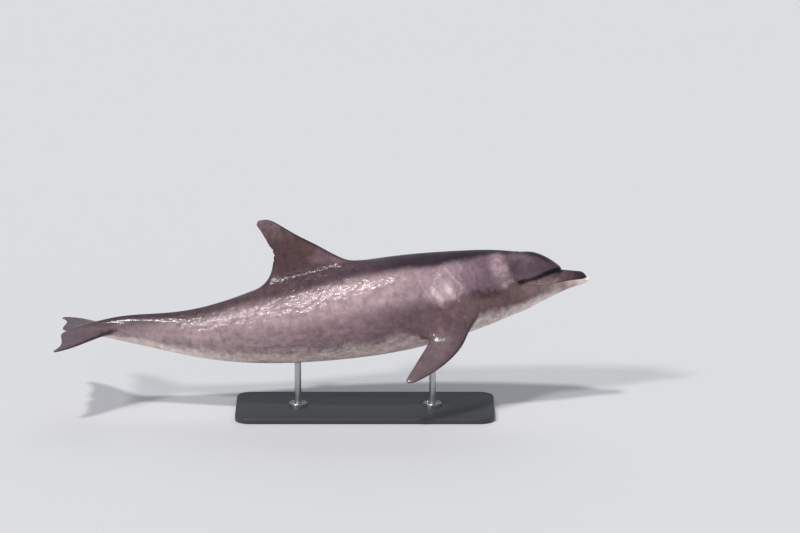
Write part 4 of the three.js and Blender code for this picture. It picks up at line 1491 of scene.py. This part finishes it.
CORNEA_ANGLE = 0.5  # radians from the eye's axis
CORNEA_HEIGHT = 0.9 * MM
IRIS_RADIUS = 7.6 * MM
IRIS_TONES = tones((0.45, 44, 27, 17), (0.85, 28, 18, 13), (1, 8, 6, 6))
PUPIL_HALF_WIDTH = 4.6 * MM
PUPIL_HALF_HEIGHT = 2.4 * MM
PUPIL_RISE = 0.5 * MM
PUPIL_TONE = tone(3, 3, 3)
WHITE_OF_EYE_TONE = tone(27, 20, 20)
EYE_SEGMENTS = 48
EYE_RINGS = 40


def eye_material():
    """A dark brown iris with a wide, flattened pupil, in object coordinates with Y along the eye's axis."""
    m = Material(
        "dolphin_eye", Roughness=0.3, Specular_IOR_Level=0.05, Coat_Weight=0.8, Coat_Roughness=0.03,
        Coat_IOR=1.34,
    )
    place = m.node("TexCoord", {})["Object"]
    x, _, z = m.node("SeparateXYZ", {0: place})
    reach = m.length(x, z)
    turn = m.math("ARCTAN2", z, x)
    around = [m.times(m.math(wave, turn), 3.0) for wave in ("SINE", "COSINE")]
    rays = m.noise(m.vector(*around, m.times(reach, 60.0)), 4.0, 3.0)
    iris = m.ramp(m.add(m.times(reach, 1 / IRIS_RADIUS), m.times(rays, 0.25)), *IRIS_TONES)
    color = m.mix(m.ease(reach, IRIS_RADIUS * 0.97, IRIS_RADIUS * 1.08), iris, WHITE_OF_EYE_TONE)
    pupil = m.length(m.over(x, PUPIL_HALF_WIDTH), m.over(m.minus(z, PUPIL_RISE), PUPIL_HALF_HEIGHT))
    m.set("Base Color", m.mix(m.ease(pupil, 1.12, 0.95), color, PUPIL_TONE))
    return m.material


def eye_shape(radius, side):
    """A ball with its poles to the sides and a cornea that bulges on the outer one."""
    profile = [(0, radius + CORNEA_HEIGHT)]
    for k in range(1, EYE_RINGS):
        off_axis = math.pi * k / EYE_RINGS
        reach = radius + CORNEA_HEIGHT * float(smooth_step(off_axis, CORNEA_ANGLE, 0))
        profile.append((reach * math.sin(off_axis), reach * math.cos(off_axis)))
    points, faces = turned([*profile, (0, -radius)], 0, steps=EYE_SEGMENTS)
    return [(x, side * z, y) for x, y, z in points], faces


def make_eyes():
    material = eye_material()
    for side_name, side in (("left", 1), ("right", -1)):
        node = "eye_" + side_name
        low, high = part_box(node)
        shape = eye_shape((high.x - low.x) / 2, side)
        eye = add_piece(mesh_of("dolphin_" + node, *shape), material, "eye", node)
        eye.location = (low + high) / 2


# ---- Stand ----

BASE_CORNER = 70 * MM
CORNER_STEPS = 16
BASE_EDGE = 4 * MM
EDGE_STEPS = 6
SCREW_RING_RADIUS = 29 * MM
SCREW_RADIUS = 4.6 * MM
SCREW_HEIGHT = 3.2 * MM
SCREW_EDGE = 1.6 * MM
SCREW_STEPS = 24
SOCKET_RADIUS = 2.2 * MM
SOCKET_FLOOR = 1 * MM  # above the collar
SCREWS = 4
COLLAR_EDGE = 3 * MM
COLLAR_GAP = 0.3 * MM  # between a collar and its rod
SEAL_WIDTH = 3.2 * MM
SEAL_STEPS = 64
BEAD_STEPS = 16
GROOVE_HEIGHTS = (30 * MM, 37 * MM)  # above the rod's foot
GROOVE_WIDTH = 1.6 * MM
GROOVE_DEPTH = 1.1 * MM


def rounded_rectangle(low, high, inset, z):
    corner = BASE_CORNER - inset
    loop = []
    for turn, (x, y) in enumerate(((high.x, high.y), (low.x, high.y), (low.x, low.y), (high.x, low.y))):
        middle_x, middle_y = x - math.copysign(BASE_CORNER, x), y - math.copysign(BASE_CORNER, y)
        for k in range(CORNER_STEPS + 1):
            angle = math.pi / 2 * (turn + k / CORNER_STEPS)
            loop.append((middle_x + corner * math.cos(angle), middle_y + corner * math.sin(angle), z))
    return loop


def base_shape():
    low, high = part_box("stand_base")
    under, over = [], []
    for k in range(EDGE_STEPS + 1):
        turn = math.pi / 2 * k / EDGE_STEPS
        inset, rise = BASE_EDGE * (1 - math.sin(turn)), BASE_EDGE * (1 - math.cos(turn))
        under.append(rounded_rectangle(low, high, inset, low.z + rise))
        over.append(rounded_rectangle(low, high, inset, high.z - rise))
    return lofted(under + over[::-1])


def rod_shape(node):
    """A round rod with two turned grooves above its foot."""
    low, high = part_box(node)
    x, radius = (low.x + high.x) / 2, (high.x - low.x) / 2
    profile = [(0, low.z), (radius, low.z)]
    for height in GROOVE_HEIGHTS:
        profile += [
            (radius, low.z + height - GROOVE_WIDTH),
            (radius - GROOVE_DEPTH, low.z + height - GROOVE_WIDTH / 2),
            (radius - GROOVE_DEPTH, low.z + height + GROOVE_WIDTH / 2),
            (radius, low.z + height + GROOVE_WIDTH),
        ]
    return turned([*profile, (radius, high.z), (0, high.z)], x)


def collar_shape(node, hole):
    low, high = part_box(node)
    x, radius = (low.x + high.x) / 2, (high.x - low.x) / 2
    edge = rounded_corner(radius, high.z, COLLAR_EDGE, EDGE_STEPS)
    return turned([(hole, low.z), (radius, low.z), *edge, (hole, high.z)], x)


def screw_shapes(node):
    """Domed socket screws in a ring on a collar, each with a round recess."""
    low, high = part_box(node)
    screws = []
    for k in range(SCREWS):
        angle = 2 * math.pi * (k + 0.5) / SCREWS
        x = (low.x + high.x) / 2 + SCREW_RING_RADIUS * math.cos(angle)
        y = SCREW_RING_RADIUS * math.sin(angle)
        top, floor = high.z + SCREW_HEIGHT, high.z + SOCKET_FLOOR
        dome = rounded_corner(SCREW_RADIUS, top, SCREW_EDGE, 4)
        socket = [(SOCKET_RADIUS, top), (SOCKET_RADIUS, floor), (0, floor)]
        screws.append(turned([(0, high.z), (SCREW_RADIUS, high.z), *dome, *socket], x, y, SCREW_STEPS))
    return joined(*screws)


def seal_shape(x, rod_radius):
    """A soft ring round an upright rod where it enters the belly, along the skin's slope there."""
    stations = np.linspace(0.2, 0.7, 501)
    belly = ring_point(stations, -math.pi / 2, skin_radius(stations, -math.pi / 2))
    height, ahead = np.interp([x, x + rod_radius], belly[::-1, 0], belly[::-1, 2])
    slope = (ahead - height) / rod_radius
    points, faces = [], []
    for i in range(SEAL_STEPS):
        turn = 2 * math.pi * i / SEAL_STEPS
        for j in range(BEAD_STEPS):
            bead = 2 * math.pi * j / BEAD_STEPS
            reach = rod_radius + SEAL_WIDTH * (0.9 + math.cos(bead))
            forward = reach * math.cos(turn)
            z = height + forward * slope + 0.8 * SEAL_WIDTH * math.sin(bead)
            points.append((x + forward, reach * math.sin(turn), z))
            here, across = i * BEAD_STEPS, (i + 1) % SEAL_STEPS * BEAD_STEPS
            k = (j + 1) % BEAD_STEPS
            faces.append((here + j, across + j, across + k, here + k))
    return points, faces


def base_material():
    """Dark powder coat with a fine orange-peel surface."""
    m = Material("stand_powder_coat", Coat_Weight=0.12, Coat_Roughness=0.3)
    place = m.node("TexCoord", {})["Object"]
    cloud = m.noise(place, 6.0, 3.0)
    peel = m.noise(place, 260.0, 2.0)
    speck = m.noise(place, 900.0, 1.0)
    share = m.add(m.times(cloud, 0.5), m.times(speck, 0.5), 0.5)
    m.set("Base Color", m.mix(share, tone(40, 42, 46), tone(56, 58, 62)))
    m.set("Roughness", m.add(m.times(cloud, 0.12), 0.5))
    m.bumps((peel, 0.25 * MM), (speck, 0.05 * MM))
    return m.material


def steel_material(name, stretch):
    """Brushed steel, its fine lines drawn out along the axes whose stretch is small."""
    m = Material(name, Metallic=1.0)
    place = m.node("TexCoord", {})["Object"]
    lines = m.noise(m.scaled(place, *stretch), 900.0, 3.0, 0.6)
    smudges = m.noise(place, 22.0, 3.0)
    m.set("Base Color", m.mix(m.add(lines, 0.5), tone(176, 178, 181), tone(204, 206, 208)))
    m.set("Roughness", m.add(m.times(lines, 0.18), m.times(smudges, 0.12), 0.3))
    m.bumps((lines, 0.05 * MM))
    return m.material


def rubber_material():
    m = Material("stand_rubber", Specular_IOR_Level=0.4)
    place = m.node("TexCoord", {})["Object"]
    grain = m.noise(place, 500.0, 3.0)
    m.set("Base Color", m.mix(m.add(grain, 0.5), tone(24, 24, 26), tone(38, 38, 40)))
    m.set("Roughness", m.add(m.times(grain, 0.2), 0.7))
    m.bumps((grain, 0.1 * MM))
    return m.material


def make_stand():
    rod_steel = steel_material("stand_rod_steel", (1.0, 1.0, 0.02))
    collar_steel = steel_material("stand_collar_steel", (0.25, 0.25, 0.25))
    rubber = rubber_material()
    add_piece(mesh_of("stand_base_plate", *base_shape()), base_material(), "base", "stand_base")
    for place in ("front", "rear"):
        rod, collar = "stand_rod_" + place, "stand_collar_" + place
        low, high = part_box(rod)
        x, radius = (low.x + high.x) / 2, (high.x - low.x) / 2
        flange = collar_shape(collar, radius + COLLAR_GAP)
        add_piece(mesh_of(rod + "_steel", *rod_shape(rod)), rod_steel, "rod", rod)
        add_piece(mesh_of(collar + "_flange", *flange), collar_steel, "rod", collar)
        add_piece(mesh_of("stand_screws_" + place, *screw_shapes(collar)), collar_steel, "rod")
        add_piece(mesh_of("stand_seal_" + place, *seal_shape(x, radius)), rubber, "base")


# ---- Floor, light and camera ----

CAMERA_AIM = Vector((0.1597, 0, 0.6775))
CAMERA_ELEVATION = math.radians(14)
CAMERA_DISTANCE = 22.5
SENSOR_WIDTH = 36
LENS = 6.195 * SENSOR_WIDTH  # so the view is 1 / 6.195 as wide as it is far


def make_camera():
    data = bpy.data.cameras.new("camera")
    data.sensor_width = SENSOR_WIDTH
    data.lens = LENS
    data.clip_end = 1000
    camera = bpy.data.objects.new("camera", data)
    bpy.context.scene.collection.objects.link(camera)
    back = Vector((0, -math.cos(CAMERA_ELEVATION), math.sin(CAMERA_ELEVATION)))
    camera.location = CAMERA_AIM + back * CAMERA_DISTANCE
    camera.rotation_euler = back.to_track_quat("Z", "Y").to_euler()
    bpy.context.scene.camera = camera


BACKGROUND = (0.69, 0.702, 0.73)
SKY_COLOR = (0.86, 0.91, 1.0)
SKY_LIGHT = 0.3
FLOOR_COLOR = (0.6, 0.61, 0.63)
FLOOR_RADIUS = 400
FLOOR_HEIGHT = -0.5 * MM


def make_floor():
    """A pale floor that goes on to the horizon."""
    bpy.ops.mesh.primitive_circle_add(
        vertices=96, radius=FLOOR_RADIUS, fill_type="NGON", location=(0, 0, FLOOR_HEIGHT),
    )
    floor = bpy.context.active_object
    floor.name = "floor"
    m = Material("floor", Roughness=0.8, Specular_IOR_Level=0.1)
    m.set("Base Color", (*FLOOR_COLOR, 1))
    floor.data.materials.append(m.material)


SUNS = [
    # name, direction to it, strength, angular size in degrees, colour, whether it makes highlights
    ("key", (-0.24, -0.44, 0.86), 1.75, 6, (1.0, 0.97, 0.93), True),
    ("low_key", (-0.5, -0.6, 0.62), 1.4, 7, (1.0, 0.97, 0.94), True),
    ("fill", (0.45, -0.85, 0.25), 0.5, 45, (0.94, 0.97, 1.0), False),
    ("back", (0.1, 0.8, 0.6), 0.8, 45, (0.95, 0.97, 1.0), False),
]


def make_lights():
    for name, direction, strength, size, color, makes_highlights in SUNS:
        data = bpy.data.lights.new(name, "SUN")
        data.energy = strength
        data.angle = math.radians(size)
        data.color = color
        light = bpy.data.objects.new(name, data)
        light.visible_glossy = makes_highlights
        light.rotation_euler = Vector(direction).to_track_quat("Z", "Y").to_euler()
        bpy.context.scene.collection.objects.link(light)


def make_world():
    """A dim sky light, behind which the camera sees the background's plain colour."""
    world = bpy.data.worlds.new("world")
    world.use_nodes = True
    nodes, links = world.node_tree.nodes, world.node_tree.links
    sky, seen = nodes["Background"], nodes.new("ShaderNodeBackground")
    sky.inputs["Color"].default_value = (*SKY_COLOR, 1)
    sky.inputs["Strength"].default_value = SKY_LIGHT
    seen.inputs["Color"].default_value = (*BACKGROUND, 1)
    mix = nodes.new("ShaderNodeMixShader")
    camera_ray = nodes.new("ShaderNodeLightPath").outputs["Is Camera Ray"]
    for socket, source in zip(mix.inputs, (camera_ray, sky.outputs[0], seen.outputs[0])):
        links.new(source, socket)
    links.new(mix.outputs[0], nodes["World Output"].inputs["Surface"])
    bpy.context.scene.world = world


make_skin()
make_eyes()
make_stand()
make_camera()
make_floor()
make_lights()
make_world()
bpy.context.scene.view_settings.view_transform = "Standard"
